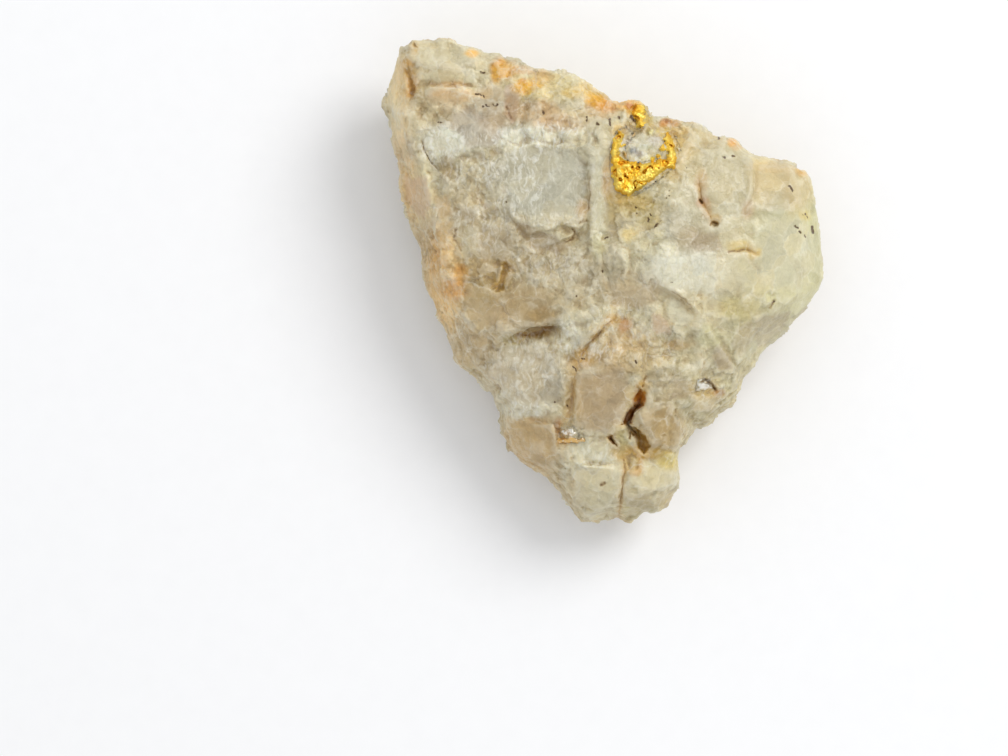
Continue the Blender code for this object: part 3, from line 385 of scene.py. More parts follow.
FACES = {
    "crescent": (((505, 86), (511, 85), (517, 95), (516, 112), (512, 125), (507, 126), (501, 108), (501, 93)),
                 -6, -8, MAUVE, 0.9),
    "grey face": (((504, 152), (520, 149), (545, 150), (560, 190), (556, 218), (530, 219), (512, 211),
        (503, 190)),
                  0, 2, COOL_GREY, 0.6),
    "smooth grey face": (((547, 150), (570, 151), (583, 165), (584, 200), (577, 221), (556, 216), (544, 190)),
                         2, 0, COOL_GREY, 0.9),
    "white plate": (((589, 150), (603, 146), (604, 190), (602, 232), (590, 235), (589, 190)),
                    8, 4, PALE_CREAM, 0.9),
    "lavender face": (((450, 116), (470, 110), (488, 122), (500, 138), (490, 150), (462, 150), (447, 132)),
                      -4, 2, LAVENDER, 0.9),
    "frost patch": (((424, 140), (440, 130), (458, 136), (463, 150), (441, 160), (427, 155)),
                    2, 6, FROST, 0.8),
    "upper lobe": (((408, 48), (440, 42), (470, 52), (474, 61), (455, 70), (415, 68), (405, 58)),
                   0, 5, CREAM, 0.5),
    "upper band": (((413, 72), (470, 73), (474, 85), (434, 84), (417, 82)), 0, 3, PALE_CREAM, 0.3),
    "under the ledge": (((430, 90), (466, 93), (470, 104), (440, 106), (424, 99)), -2, -6, TAN, 0.6),
    "rounded tan plate": (((478, 88), (500, 88), (498, 108), (507, 128), (492, 134), (480, 118)),
                          2, -2, BROWN_GREY, 0.5),
    "left side face": (((400, 178), (425, 178), (428, 205), (422, 222), (406, 205)), -6, -2, MAUVE, 0.8),
    "second left face": (((429, 196), (446, 198), (450, 218), (435, 219)), -6, -4, WARM_TAN, 0.6),
    "third left face": (((431, 221), (451, 221), (452, 240), (438, 240)), -4, -6, TAN, 0.6),
    "dull square": (((456, 206), (474, 208), (474, 222), (458, 222)), 0, -4, BROWN_GREY, 0.6),
    "middle tan face": (((478, 226), (500, 226), (514, 246), (500, 262), (478, 258)),
        -2, -4, BROWN_GREY, 0.5),
    "lower middle tan face": (((455, 228), (476, 230), (475, 256), (462, 258)), -3, -2, CREAM, 0.4),
    "shaded band": (((511, 222), (530, 229), (552, 236), (570, 247), (556, 254), (530, 249), (516, 236)),
                    -6, -12, BROWN_GREY, 0.8),
    "brown face": (((500, 292), (530, 284), (552, 298), (550, 322), (516, 325), (502, 310)),
        -3, -8, linear(172, 152, 118), 0.55),
    "face beside it": (((465, 285), (498, 291), (500, 318), (478, 330), (462, 310)), -6, -2, TAN, 0.5),
    "frosted lower face": (((500, 348), (540, 345), (560, 356), (558, 398), (524, 410), (502, 398),
        (492, 370)),
                           -2, -2, LAVENDER, 0.35),
    "lower left side": (((506, 422), (549, 424), (556, 440), (550, 470), (522, 461), (507, 445)),
                        -4, -2, linear(184, 165, 132), 0.5),
    "smooth block": (((576, 374), (623, 368), (630, 394), (620, 424), (604, 432), (575, 428), (572, 400)),
                     -2, -4, BROWN_GREY, 0.9),
    "proud block": (((637, 412), (655, 403), (671, 415), (679, 428), (677, 446), (656, 446), (641, 426)),
                    2, -4, linear(178, 156, 112), 0.6),
    "left lobe": (((568, 446), (604, 441), (612, 452), (606, 462), (575, 464)), 2, 4, PALE_CREAM, 0.6),
    "left lobe below": (((571, 470), (611, 466), (614, 500), (597, 512), (575, 497)), 2, 0, CREAM, 0.4),
    "right lobe": (((630, 457), (668, 456), (676, 470), (676, 486), (641, 492), (628, 480)),
        0, 4, PALE_CREAM, 0.5),
    "right lobe below": (((625, 496), (650, 494), (655, 508), (640, 512), (625, 518)),
        -2, -10, BROWN_GREY, 0.5),
    "right lobe corner": (((656, 493), (677, 487), (669, 497), (661, 509), (653, 511)), 6, -12, OLIVE, 0.35),
    "white field": (((655, 258), (700, 256), (714, 275), (712, 298), (692, 292), (668, 287), (652, 275)),
                    4, 5, FROST, 0.75),
    "white face below the arc": (((668, 299), (680, 303), (691, 317), (684, 328), (668, 322), (663, 308)),
                                 6, 2, FROST, 0.6),
    "grey-tan face": (((690, 236), (715, 234), (721, 252), (700, 254), (688, 246)), -4, -6, BROWN_GREY, 0.7),
    "middle brown face": (((611, 286), (650, 285), (656, 300), (640, 308), (612, 304)),
        -4, -6, BROWN_GREY, 0.7),
    "brown triangle": (((652, 311), (667, 322), (668, 334), (653, 334), (648, 324)), -3, -8, MAUVE, 0.8),
    "pale triangle": (((700, 320), (715, 329), (722, 345), (706, 349), (692, 340)), 3, -4, GREEN_CREAM, 0.6),
    "dull triangle": (((717, 346), (726, 352), (732, 368), (717, 371), (709, 356)), -8, -8, BROWN_GREY, 0.8),
    "ridge face": (((735, 330), (749, 318), (753, 340), (739, 358), (728, 346)), 4, -6, BROWN_GREY, 0.5),
    "right side face": (((753, 318), (790, 312), (781, 331), (758, 350), (751, 335)), 6, -6, BROWN_GREY, 0.5),
    "right plate": (((754, 168), (788, 169), (800, 200), (790, 212), (745, 212), (751, 190)),
        3, 1, TAN, 0.35),
    "broad right face": (((700, 152), (747, 160), (746, 198), (736, 214), (713, 205), (701, 180)),
        1, 2, CREAM, 0.4),
    "far right face": (((752, 228), (800, 226), (808, 262), (790, 290), (760, 276), (748, 250)),
                       2, 0, GREEN_CREAM, 0.6),
    "face above the right grain": (((672, 378), (695, 382), (693, 399), (672, 398)), -4, -8, BROWN_GREY, 0.6),
    "face below the right grain": (((690, 396), (722, 395), (711, 411), (690, 412)), 4, -6, TAN, 0.5),
    "wedge": (((616, 321), (631, 318), (630, 327), (618, 337), (615, 330)), -6, -10, WARM_TAN, 0.9),
}
FACE_BORDER = 0.40
TIP_SHARE = 0.45
PLANE_SHARE = 0.5
TONE_BORDER = (-0.18, 0.24)
FACE_MARGIN = 0.5
CORE_DEPTH = 0.1


def plane_off(outline, tip_right, tip_up):
    """Move the ground inside an outline onto its own plane, tipped by the two angles."""
    corners = on_stone(outline)
    rows = near_box(corners, FACE_MARGIN)
    depth = depth_inside(face_plan[rows], corners)
    core = rows[depth > CORE_DEPTH]
    middle = points[core, :2].mean(0)
    rel = points[core, :2] - middle
    fitted = np.column_stack((np.ones(len(core)), rel))
    level, slope_x, slope_y = np.linalg.lstsq(fitted, points[core, 2], rcond=None)[0]
    slope_x -= math.tan(math.radians(tip_right * TIP_SHARE))
    slope_y -= math.tan(math.radians(tip_up * TIP_SHARE))
    rel = points[rows, :2] - middle
    target = level + rel[:, 0] * slope_x + rel[:, 1] * slope_y
    share = smooth_step(depth, -FACE_BORDER, FACE_BORDER)
    points[rows, 2] += (target - points[rows, 2]) * share * PLANE_SHARE
    return rows, smooth_step(depth, *TONE_BORDER)


smoothness = np.zeros(len(points))
face_shares = {}
for name, (outline, tip_right, tip_up, colour, cover) in FACES.items():
    rows, share = plane_off(outline, tip_right, tip_up)
    face_shares[name] = (rows, share)
    smoothness[rows] = np.maximum(smoothness[rows], share)
print("flat faces:", len(face_shares))

# %% [markdown]
# Ledges
#
# Where one shell of stone broke off another, a low step is left, and the step casts the thin shadow
# line that shows in the photograph. A ledge is a line with a drop: the ground on its left, as it is
# walked, is lifted, the ground on its right is lowered, and both fade back over a short way.

# %% Fine ledges
LEDGES = {
    "below the upper lobe": (((478, 62), (468, 69), (450, 71), (432, 69), (414, 68)), 0.22, 0.8),
    "brown shadow line": (((470, 92), (460, 89), (445, 88), (432, 86), (420, 88)), 0.5, 1.0),
    "rim of the tan plate": (((478, 118), (484, 128), (493, 134), (504, 131), (512, 125)), 0.30, 0.8),
    "right rim of the crescent": (((513, 127), (517, 112), (518, 96), (512, 86), (504, 84)), 0.28, 0.8),
    "frosted scallops": (
        ((588, 146), (578, 143), (570, 147), (560, 144), (550, 148), (540, 145), (530, 149), (520, 146),
         (511, 149), (503, 146), (497, 140)), 0.38, 0.7),
    "second row of scallops": (
        ((560, 150), (548, 157), (536, 153), (524, 158), (514, 155), (505, 160)), 0.18, 0.5),
    "foot of the grey face": (((588, 214), (578, 222), (566, 224), (548, 222), (530, 220), (511, 213)),
        -0.18, 0.8),
    "dark curved ledge": (((578, 221), (572, 230), (573, 237), (568, 241), (560, 243), (552, 239), (540, 236),
                           (526, 228), (512, 221)), -0.55, 0.7),
    "line beside the white plate": (((587, 178), (588, 190), (587, 203)), 0.08, 0.6),
    "olive recess": (((548, 326), (536, 331), (524, 333), (513, 334)), -1.6, 0.9),
    "over the frosted face": (((566, 348), (545, 343), (520, 342), (498, 345), (486, 352)), 0.25, 0.8),
    "edge in the frosted face": (((552, 378), (535, 372), (520, 378), (508, 372)), 0.2, 0.6),
    "white lip": (((545, 402), (530, 408), (515, 410), (505, 405)), 0.26, 0.7),
    "block foot": (((632, 424), (618, 430), (600, 437), (585, 434), (572, 428)), -0.9, 0.9),
    "block head": (((574, 370), (590, 366), (610, 366), (626, 362)), -0.22, 0.8),
    "pale curved ridge": (((619, 248), (625, 255), (627, 264), (623, 276), (627, 288)), -0.22, 0.7),
    "arc in the white field": (((664, 288), (673, 294), (682, 299), (690, 309), (694, 320)), 0.26, 0.8),
    "edge of the right plate": (((757, 164), (753, 175), (751, 190), (746, 200), (741, 208)), -0.2, 0.9),
    "long curve right of the gold": (((676, 176), (688, 190), (700, 208), (706, 226)), 0.16, 1.0),
    "below the grey-tan face": (((724, 254), (706, 257), (690, 250), (682, 238)), -0.22, 0.7),
    "left triangle ridge": (((702, 318), (712, 330), (722, 344), (727, 352)), 0.25, 0.6),
    "right triangle ridge": (((735, 368), (729, 354), (722, 344), (712, 348), (702, 362)), 0.25, 0.6),
    "ridge to the rim": (((752, 316), (746, 330), (738, 346), (733, 364)), -0.22, 0.8),
    "above the right grain": (((690, 380), (700, 377), (710, 382), (718, 390)), 0.3, 0.6),
    "over the lower grain": (((556, 424), (566, 422), (580, 428), (592, 432)), 0.25, 0.6),
    "lower lobe step": (((574, 466), (586, 468), (600, 463), (614, 466)), 0.22, 0.7),
    "second lobe step": (((580, 486), (592, 492), (602, 490), (612, 497)), 0.2, 0.7),
    "right lobe step": (((630, 492), (645, 488), (660, 490), (677, 486)), 0.28, 0.8),
    "rim of the proud block": (((632, 414), (644, 405), (656, 400), (670, 412), (680, 424)), -0.7, 0.7),
    "foot of the proud block": (((683, 446), (668, 450), (655, 448), (644, 436), (634, 424)), -0.9, 0.7),
    "left gully": (((420, 228), (428, 240), (434, 255), (440, 272)), 0.3, 0.8),
    "upper left rim": (((402, 60), (405, 74), (410, 86), (409, 98), (404, 112), (402, 130)), -0.5, 0.9),
    "left side step": (((424, 168), (428, 190), (426, 208), (430, 226)), -0.25, 0.7),
    "second left step": (((452, 196), (452, 212), (454, 228), (450, 242)), -0.22, 0.7),
    "middle step": (((470, 200), (482, 206), (496, 202), (508, 208)), 0.2, 0.7),
    "step over the notch": (((490, 262), (500, 266), (512, 262), (520, 268)), 0.24, 0.7),
    "step in the middle": (((556, 262), (570, 268), (584, 262), (596, 270)), 0.2, 0.7),
    "lower middle step": (((560, 296), (572, 302), (586, 298), (600, 306)), 0.2, 0.7),
    "step right of the valley": (((628, 318), (640, 326), (652, 334), (668, 338), (684, 336)), 0.28, 0.8),
    "second step there": (((600, 346), (616, 342), (632, 348), (648, 356)), 0.22, 0.7),
    "third step there": (((660, 352), (674, 360), (690, 362), (700, 374)), 0.22, 0.7),
}
LEDGE_WIDTH = 0.10
LEDGE_SHARE = 0.24
LEDGE_WALK_IN = 0.12
SHADOW_WIDTH = 0.16
SHADOW_GAIN = 2.4

patchy = 0.3 + 0.7 * smooth_step(noise_at(points, 1.4, 90), -0.25, 0.25)
drop_shadow = np.zeros(len(points))
for line, drop, reach in LEDGES.values():
    path = on_stone(line)
    rows = near_box(path, 3 * reach)
    away, side, along = line_distance(plan[rows], path)
    taper = smooth_step(along, 0, LEDGE_WALK_IN) * (1 - smooth_step(along, 1 - LEDGE_WALK_IN, 1))
    taper *= patchy[rows]
    step = np.tanh(side * away / LEDGE_WIDTH) * np.exp(-away / reach)
    points[rows, 2] += step * drop / 2 * LEDGE_SHARE * taper * facing_up[rows]
    low_side = -side * np.sign(drop)
    shade = (low_side > 0) * np.exp(-away / SHADOW_WIDTH) * taper * min(1, abs(drop) * SHADOW_GAIN)
    drop_shadow[rows] = np.maximum(drop_shadow[rows], shade)
print("ledges:", len(LEDGES))

# %% [markdown]
# Cracks, holes and pits
#
# Cracks are narrow grooves with dark or ochre filling. The dark lines at the foot of the curved ledge
# are painted shade, and the line over the olive recess is partly painted shade and partly ochre stain;
# they are cut as shallow grooves too. Pits are where small crystals have weathered out; most are dark.
# Each crack has its width, depth, and how dark and how brown it is. Each pit is a short stroke or a
# dot, and gets a small steep bowl in the mesh, so that it is dark by shade and not by paint alone.

# %% Cut the cracks and pits
CRACKS = {
    "stained groove": (((402, 60), (404, 70), (409, 82), (410, 92), (407, 99)), 0.30, 0.22, 0.1, 0.9),
    "left crack": (((420, 139), (421, 148), (424, 155), (428, 162), (436, 170)), 0.07, 0.10, 0.3, 0.45),
    "fine line in the crescent": (((504, 107), (507, 114), (509, 122)), 0.06, 0.15, 0.6, 0.3),
    "short line": (((474, 198), (480, 205), (484, 211)), 0.08, 0.2, 0.4, 0.5),
    "mark on the third left face": (((454, 228), (453, 235), (451, 241)), 0.08, 0.22, 0.6, 0.5),
    "line below it": (((453, 240), (457, 245), (460, 251)), 0.07, 0.15, 0.4, 0.4),
    "valley": (((599, 232), (600, 245), (602, 258), (599, 274), (604, 290), (610, 305), (615, 318)),
        0.09, 0.03, 0.02, 0.15),
    "diagonal crack": (((616, 310), (612, 319), (604, 325), (596, 334), (590, 341), (583, 350),
        (577, 360)), 0.08, 0.12, 0.16, 0.6),
    "down to the grain": (((577, 360), (573, 372), (571, 390), (569, 408), (562, 420), (557, 428),
        (559, 437)), 0.12, 0.08, 0.04, 0.5),
    "brown line": (((697, 179), (698, 190), (699, 202), (704, 212), (711, 223)), 0.06, 0.08, 0.08, 0.6),
    "hole of the brown line": (((707, 228), (710, 223), (714, 225), (718, 224)), 0.08, 0.2, 0.45, 0.9),
    "crack at the right": (((725, 254), (731, 252), (737, 252), (743, 250)), 0.07, 0.2, 0.5, 0.6),
    "its stained end": (((743, 250), (749, 252), (756, 257)), 0.14, 0.10, 0.06, 0.7),
    "far right crack": (((767, 309), (770, 305), (773, 301)), 0.09, 0.3, 0.6, 0.3),
    "arc crack": (((667, 291), (674, 295), (682, 299), (690, 309)), 0.07, 0.2, 0.25, 0.4),
    "between the lobes": (((621, 452), (622, 462), (623, 472), (620, 484), (619, 496), (618, 508),
        (616, 520)),
                          0.10, 0.14, 0.12, 0.75),
    "slit beside the crevice": (((629, 428), (629, 434), (627, 439)), 0.08, 0.4, 0.6, 0.6),
    "dark dash": (((597, 484), (600, 483), (604, 482)), 0.10, 0.3, 0.9, 0.4),
    # Partly painted shade of the overhang, partly ochre stain.
    "line over the olive recess": (((512, 335), (524, 335), (536, 332), (548, 327)), 0.14, 0.15, 0.2, 0.6),
    "line left of the plate": (((587, 176), (588, 190), (587, 204), (585, 214)), 0.06, 0.12, 0.35, 0.4),
    # The next two lines are painted shade at the foot of the dark curved ledge.
    "broken ledge line": (((576, 226), (580, 222), (586, 222)), 0.07, 0.18, 0.5, 0.4),
    "lower ledge line": (((562, 243), (570, 241), (573, 234), (570, 228)), 0.09, 0.25, 0.55, 0.4),
    "right grain rim": (((698, 382), (704, 380), (710, 384), (715, 391)), 0.13, 0.4, 0.8, 0.7),
    "line over the right grain": (((699, 352), (702, 362), (699, 372)), 0.06, 0.12, 0.3, 0.3),
    "line on the right lobe": (((634, 470), (637, 464), (637, 458)), 0.08, 0.12, 0.2, 0.8),
    "crack above the crevice": (((644, 374), (643, 380), (640, 388)), 0.08, 0.25, 0.4, 0.8),
}
PITS = (
    ((479, 75), (482, 75), 0.12), ((475, 96), (479, 96), 0.11), ((479, 96), (481, 98), 0.09),
    ((480, 109), (483, 107), 0.08), ((484, 107), (487, 109), 0.09), ((489, 106), (490, 107), 0.08),
    ((492, 109), (495, 108), 0.09), ((495, 105), (496, 107), 0.06), ((437, 124), (440, 124), 0.10),
    ((541, 114), (541, 116), 0.13), ((585, 119), (585, 124), 0.10), ((594, 126), (595, 127), 0.14),
    ((608, 121), (607, 127), 0.14), ((616, 118), (617, 119), 0.12), ((600, 272), (600, 273), 0.12),
    ((565, 405), (566, 406), 0.12), ((633, 361), (634, 362), 0.10), ((716, 138), (716, 140), 0.10),
    ((721, 159), (723, 159), 0.08), ((731, 158), (732, 158), 0.09), ((787, 188), (790, 192), 0.12),
    ((801, 216), (804, 214), 0.08), ((804, 214), (806, 219), 0.07), ((793, 227), (796, 229), 0.09),
    ((798, 232), (799, 234), 0.11), ((803, 236), (804, 238), 0.09), ((810, 227), (811, 233), 0.11),
    ((633, 208), (635, 209), 0.08), ((632, 213), (634, 214), 0.06), ((645, 218), (645, 223), 0.10),
    ((648, 215), (649, 216), 0.06), ((657, 222), (652, 230), 0.11), ((504, 203), (505, 204), 0.08),
    ((552, 400), (553, 401), 0.07), ((773, 302), (772, 303), 0.10), ((580, 358), (583, 359), 0.10),
    ((576, 360), (577, 362), 0.08), ((583, 366), (585, 367), 0.07), ((572, 368), (573, 370), 0.07),
    ((667, 192), (670, 190), 0.05), ((663, 199), (667, 197), 0.06), ((425, 157), (427, 161), 0.09),
    ((600, 239), (608, 237), 0.06), ((697, 201), (699, 203), 0.14), ((683, 168), (685, 170), 0.05),
    ((668, 283), (669, 284), 0.08), ((570, 367), (571, 368), 0.09), ((574, 297), (575, 298), 0.07),
    ((629, 119), (632, 122), 0.18), ((633, 123), (635, 126), 0.13), ((636, 129), (639, 129), 0.08),
)
PIT_SIZE = 1.15
PIT_MARGIN = 1.0
CRACK_MARGIN = 1.2
CRACK_START = (-0.02, 0.12)
CRACK_END = (0.88, 1.02)
BROWN_SPREAD = 0.9
STAIN_SPREAD = 2.2
dark = np.zeros(len(points))
brown = np.zeros(len(points))
stain = np.zeros(len(points))
for line, width, depth, darkness, ochre in CRACKS.values():
    path = on_stone(line)
    rows = near_box(path, CRACK_MARGIN)
    away, _, along = line_distance(plan[rows], path)
    taper = smooth_step(along, *CRACK_START) * (1 - smooth_step(along, *CRACK_END))
    groove = np.exp(-(away / width) ** 2) * taper
    points[rows, 2] -= groove * depth * facing_up[rows]
    brown[rows] = np.maximum(brown[rows], np.exp(-(away / (width * BROWN_SPREAD)) ** 2) * taper * darkness)
    stain[rows] = np.maximum(stain[rows], np.exp(-away / (width * STAIN_SPREAD)) * taper * ochre)
for start, end, radius in PITS:
    path = on_stone((start, end))
    rows = near_box(path, PIT_MARGIN)
    away, _, _ = line_distance(plan[rows], path)
    radius *= PIT_SIZE
    points[rows, 2] -= np.exp(-(away / radius) ** 2) * radius * facing_up[rows]
    dark[rows] = np.maximum(dark[rows], np.exp(-(away / radius) ** 2))
print("cracks:", len(CRACKS), "pits:", len(PITS))

# %% [markdown]
# The crevice
#
# The deep crevice near the bottom is not a line but a chain of holes with their own outlines: a hole, a
# slot like a wedge, a shaded hollow and a small triangle beside it. Each is sunk with steep walls and
# coloured from inside, with ochre around its mouth.

# %% Sink the crevice
CREVICE = {
    "upper hole": (((638, 388), (643, 392), (643, 399), (641, 405), (632, 407), (631, 399)),
                   0.7, linear(214, 150, 62)),
    "slot": (((632, 405), (641, 404), (633, 412), (630, 422), (619, 425), (625, 413)),
             1.1, linear(176, 118, 52)),
    "hollow": (((627, 422), (636, 428), (643, 435), (649, 446), (642, 453), (636, 447), (633, 434)),
               0.8, linear(178, 142, 72)),
    "small triangle": (((606, 437), (610, 434), (615, 446), (611, 443)), 0.5, linear(150, 106, 54)),
    "pocket below": (((624, 455), (630, 452), (637, 458), (636, 468), (629, 470), (624, 464)),
                     0.3, linear(204, 184, 140)),
    "olive notch": (((502, 262), (510, 267), (505, 276), (500, 291), (493, 293), (498, 276)),
                    0.35, linear(176, 148, 84)),
}
CREVICE_MARGIN = 0.8
WALL_WIDTH = (-0.12, 0.16)
HOLE_BORDER = (-0.1, 0.1)
MOUTH_REACH = 0.24
mouth_stain = np.zeros(len(points))
inside_holes = []
for outline, depth, colour in CREVICE.values():
    corners = on_stone(outline)
    rows = near_box(corners, CREVICE_MARGIN)
    depth_in = depth_inside(plan[rows], corners)
    sunk = smooth_step(depth_in, *WALL_WIDTH)
    points[rows, 2] -= sunk * depth
    inside_holes.append((rows, smooth_step(depth_in, *HOLE_BORDER), colour))
    mouth_stain[rows] = np.maximum(mouth_stain[rows], np.exp(-np.abs(depth_in) / MOUTH_REACH))

# %% [markdown]
# Small broken relief
#
# Between the named features the ground is a patchwork of tiny fracture faces. Each vertex looks for
# its nearest seeds among points scattered on the stone; every seed carries a small tilted plane, and
# the highest plane wins. That gives flat little faces that meet in sharp ridges. A noise texture
# alone would look like dough. The flat faces named above keep only a trace of it.

# %% Tilted cells
def broken_cells(places, count, tilt, level, seed):
    """Height of a patchwork of tilted planes, in millimetres, at every place."""
    draw = np.random.default_rng(seed)
    chosen = draw.choice(len(places), count, replace=False)
    tree = KDTree(count)
    for k, i in enumerate(chosen):
        tree.insert(Vector(places[i]), k)
    tree.balance()
    tilts = draw.uniform(-tilt, tilt, (count, 3))
    levels = draw.uniform(-level, level, count)
    centres = places[chosen]
    near = np.array([[hit[1] for hit in tree.find_n(Vector(p), 3)] for p in places])
    rel = places[:, None, :] - centres[near]
    planes = levels[near] + (rel * tilts[near]).sum(2)
    return planes.max(1)


SMOOTH_GROUND = (
    ((742, 220), (80, 85), 0.85), ((800, 260), (40, 60), 0.8), ((680, 275), (34, 26), 0.7),
    ((545, 185), (44, 40), 0.75), ((600, 400), (32, 36), 0.75), ((640, 470), (40, 30), 0.5),
    ((395, 110), (14, 60), 0.5), ((600, 190), (16, 45), 0.6), ((700, 160), (30, 30), 0.7),
    ((780, 330), (50, 40), 0.6), ((725, 330), (50, 45), 0.4), ((450, 60), (35, 16), 0.6),
)
RELIEF_LAYERS = (
    (700, 0.17, 0.07, 4, 0.25, 1.0), (3200, 0.17, 0.04, 5, 0.15, 0.8), (12000, 0.26, 0.03, 6, 0.1, 1.0),
)
RELIEF_SHARE = 0.68
TOP_RELIEF = 0.2
SIDE_RELIEF = 0.4
SMALL_SIDE_CELLS = (3600, 0.2, 0.04, 9)
LARGE_SIDE_CELLS = (420, 0.24, 0.16, 8)
REST_BAND = 0.02
calm = smoothness * 0.65
for middle, radii, share in SMOOTH_GROUND:
    away = np.linalg.norm((plan - on_stone(middle)) / (np.array(radii) * MM_PER_PIXEL), axis=1)
    calm = np.maximum(calm, share * (1 - smooth_step(away, 0.7, 1.15)) * (facing_up > 0))
roughness = 1 - calm
girdle_hold = smooth_step(np.abs(normals[:, 2]), 0.0, 0.25) * 0.6 + 0.4

relief = noise_at(points, 0.35, 40) * 0.012
for count, tilt, level, seed, most, share in RELIEF_LAYERS:
    relief += np.clip(broken_cells(points, count, tilt, level, seed), -most, most) * share
relief = np.clip(relief - np.median(relief), -TOP_RELIEF, TOP_RELIEF) * RELIEF_SHARE
side_relief = broken_cells(points, *SMALL_SIDE_CELLS) - broken_cells(points, *LARGE_SIDE_CELLS)
side_relief = np.clip(side_relief - np.median(side_relief), -SIDE_RELIEF, SIDE_RELIEF)
relief += side_relief * (1 - facing_up)
lift = relief * roughness * girdle_hold
rests = points[:, 2] < REST_BAND
lift[rests] = 0
points += normals * lift[:, None]
print("small relief, mm:", round(float(lift.min()), 2), "to", round(float(lift.max()), 2))

# %% [markdown]
# Back to a mesh
#
# The moved points go back into the mesh. They are stretched by a hair to the measured box, so that the
# dressed stone has the measured size, and the corners of the small faces are kept sharp by angle.

# %% Write the stone's mesh
STONE_CREASE = 38


def fitted_to_box(places, node):
    """The places stretched by a hair, so that they reach the box of their measured node."""
    low, high = (np.array(corner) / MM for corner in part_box(node))
    share = (places - places.min(0)) / (places.max(0) - places.min(0))
    return low + share * (high - low)


points = fitted_to_box(points, "quartz")
put_points(stone_mesh, points)
stone = bpy.data.objects.new("quartz_stone", stone_mesh)
bpy.context.scene.collection.objects.link(stone)
stone_mesh.shade_smooth()
stone_mesh.set_sharp_from_angle(angle=math.radians(STONE_CREASE))

# %% [markdown]
# Painting the colours
#
# The colours of the stone are large soft zones with small strong stains; a few of the stains are
# painted shade under a ledge and in an overhung recess. Each patch below is an ellipse with a named
# colour: where it is, how wide and high, in pixels, and how much it covers. The patches are laid over
# each other in order, like glazes, and the wandering places break their edges. Factors per region then
# brighten or darken the tone, in part as painted light, and the ledges' painted shadow is laid on. The
# result is kept on the points as one colour, and the shader adds the fine grain to it.

# %% Colour patches
PATCHES = (
    ((740, 215), (95, 75), CREAM, 0.8), ((790, 250), (45, 70), GREEN_CREAM, 0.7),
    ((700, 175), (40, 30), CREAM, 0.6),
    ((812, 240), (12, 70), linear(196, 193, 150), 0.6), ((800, 300), (40, 14), GREEN_CREAM, 0.7),
    ((760, 340), (45, 30), linear(200, 194, 160), 0.6), ((720, 400), (45, 25), linear(196, 186, 148), 0.6),
    ((680, 270), (42, 24), FROST, 0.75), ((640, 255), (30, 25), PALE_CREAM, 0.5),
    ((700, 215), (40, 30), PALE_CREAM, 0.4),
    ((660, 225), (34, 18), COOL_GREY, 0.6), ((690, 240), (16, 12), BROWN_GREY, 0.6),
    ((395, 100), (14, 60), linear(204, 186, 150), 0.7), ((440, 60), (45, 20), linear(208, 196, 168), 0.7),
    ((440, 100), (40, 22), linear(200, 183, 148), 0.7), ((425, 120), (24, 18), linear(206, 190, 158), 0.6),
    ((400, 190), (16, 60), WARM_TAN, 0.7), ((425, 280), (22, 60), WARM_TAN, 0.8),
    ((455, 250), (40, 50), TAN, 0.6),
    ((480, 200), (45, 40), linear(198, 184, 156), 0.6), ((470, 310), (40, 45), TAN, 0.75),
    ((505, 250), (35, 30), BROWN_GREY, 0.6), ((480, 280), (35, 25), linear(178, 154, 108), 0.6),
    ((455, 345), (25, 25), TAN, 0.8), ((485, 365), (18, 30), TAN, 0.7), ((520, 310), (34, 22), WARM_TAN, 0.6),
    ((475, 290), (40, 20), linear(176, 150, 102), 0.4),
    ((530, 445), (34, 32), WARM_TAN, 0.8), ((560, 490), (24, 26), TAN, 0.8), ((505, 410), (14, 40), TAN, 0.5),
    ((530, 375), (42, 34), linear(196, 186, 166), 0.7), ((520, 410), (24, 8), FROST, 0.7),
    ((505, 398), (10, 14), PALE_CREAM, 0.6),
    ((560, 280), (40, 34), linear(192, 178, 152), 0.7), ((600, 260), (24, 40), linear(190, 180, 158), 0.6),
    ((630, 290), (30, 20), BROWN_GREY, 0.6), ((590, 330), (26, 26), PALE_CREAM, 0.5),
    ((570, 335), (10, 18), FROST, 0.5),
    ((620, 350), (40, 26), linear(196, 174, 138), 0.75), ((660, 360), (34, 26), linear(190, 178, 146), 0.6),
    ((600, 400), (30, 36), BROWN_GREY, 0.7), ((660, 390), (26, 20), BROWN_GREY, 0.5),
    ((590, 470), (32, 40), PALE_CREAM, 0.7), ((600, 500), (16, 14), PALE_CREAM, 0.6),
    ((655, 478), (26, 20), PALE_CREAM, 0.7),
    ((640, 508), (20, 10), linear(180, 172, 130), 0.6), ((660, 430), (24, 22), WARM_TAN, 0.5),
    ((535, 175), (50, 42), linear(196, 192, 178), 0.75), ((520, 170), (22, 36), linear(200, 197, 184), 0.5),
    ((475, 130), (34, 22), LAVENDER, 0.7), ((445, 145), (24, 16), FROST, 0.85),
    ((490, 145), (30, 9), PALE_CREAM, 0.6),
    ((536, 136), (40, 10), FROST, 0.8), ((512, 142), (16, 9), FROST, 0.7),
    ((575, 135), (22, 20), PALE_CREAM, 0.6),
    ((596, 190), (9, 46), PALE_CREAM, 0.8), ((597, 240), (8, 20), GREEN_CREAM, 0.6),
    ((550, 90), (45, 14), linear(214, 196, 146), 0.7), ((535, 114), (26, 12), linear(206, 178, 142), 0.8),
    ((560, 125), (26, 8), linear(200, 168, 132), 0.6), ((585, 115), (18, 14), linear(200, 184, 152), 0.6),
    ((600, 112), (16, 8), linear(206, 164, 110), 0.5), ((690, 140), (30, 14), linear(210, 190, 146), 0.6),
    ((762, 180), (16, 26), linear(224, 204, 158), 0.7), ((795, 190), (18, 24), linear(212, 190, 146), 0.6),
    ((630, 212), (30, 16), linear(186, 172, 128), 0.7), ((640, 240), (22, 16), linear(210, 202, 170), 0.5),
    ((735, 308), (18, 12), linear(206, 192, 132), 0.6), ((675, 345), (12, 5), OCHRE, 0.35),
    ((745, 210), (7, 10), linear(206, 178, 150), 0.6),
)
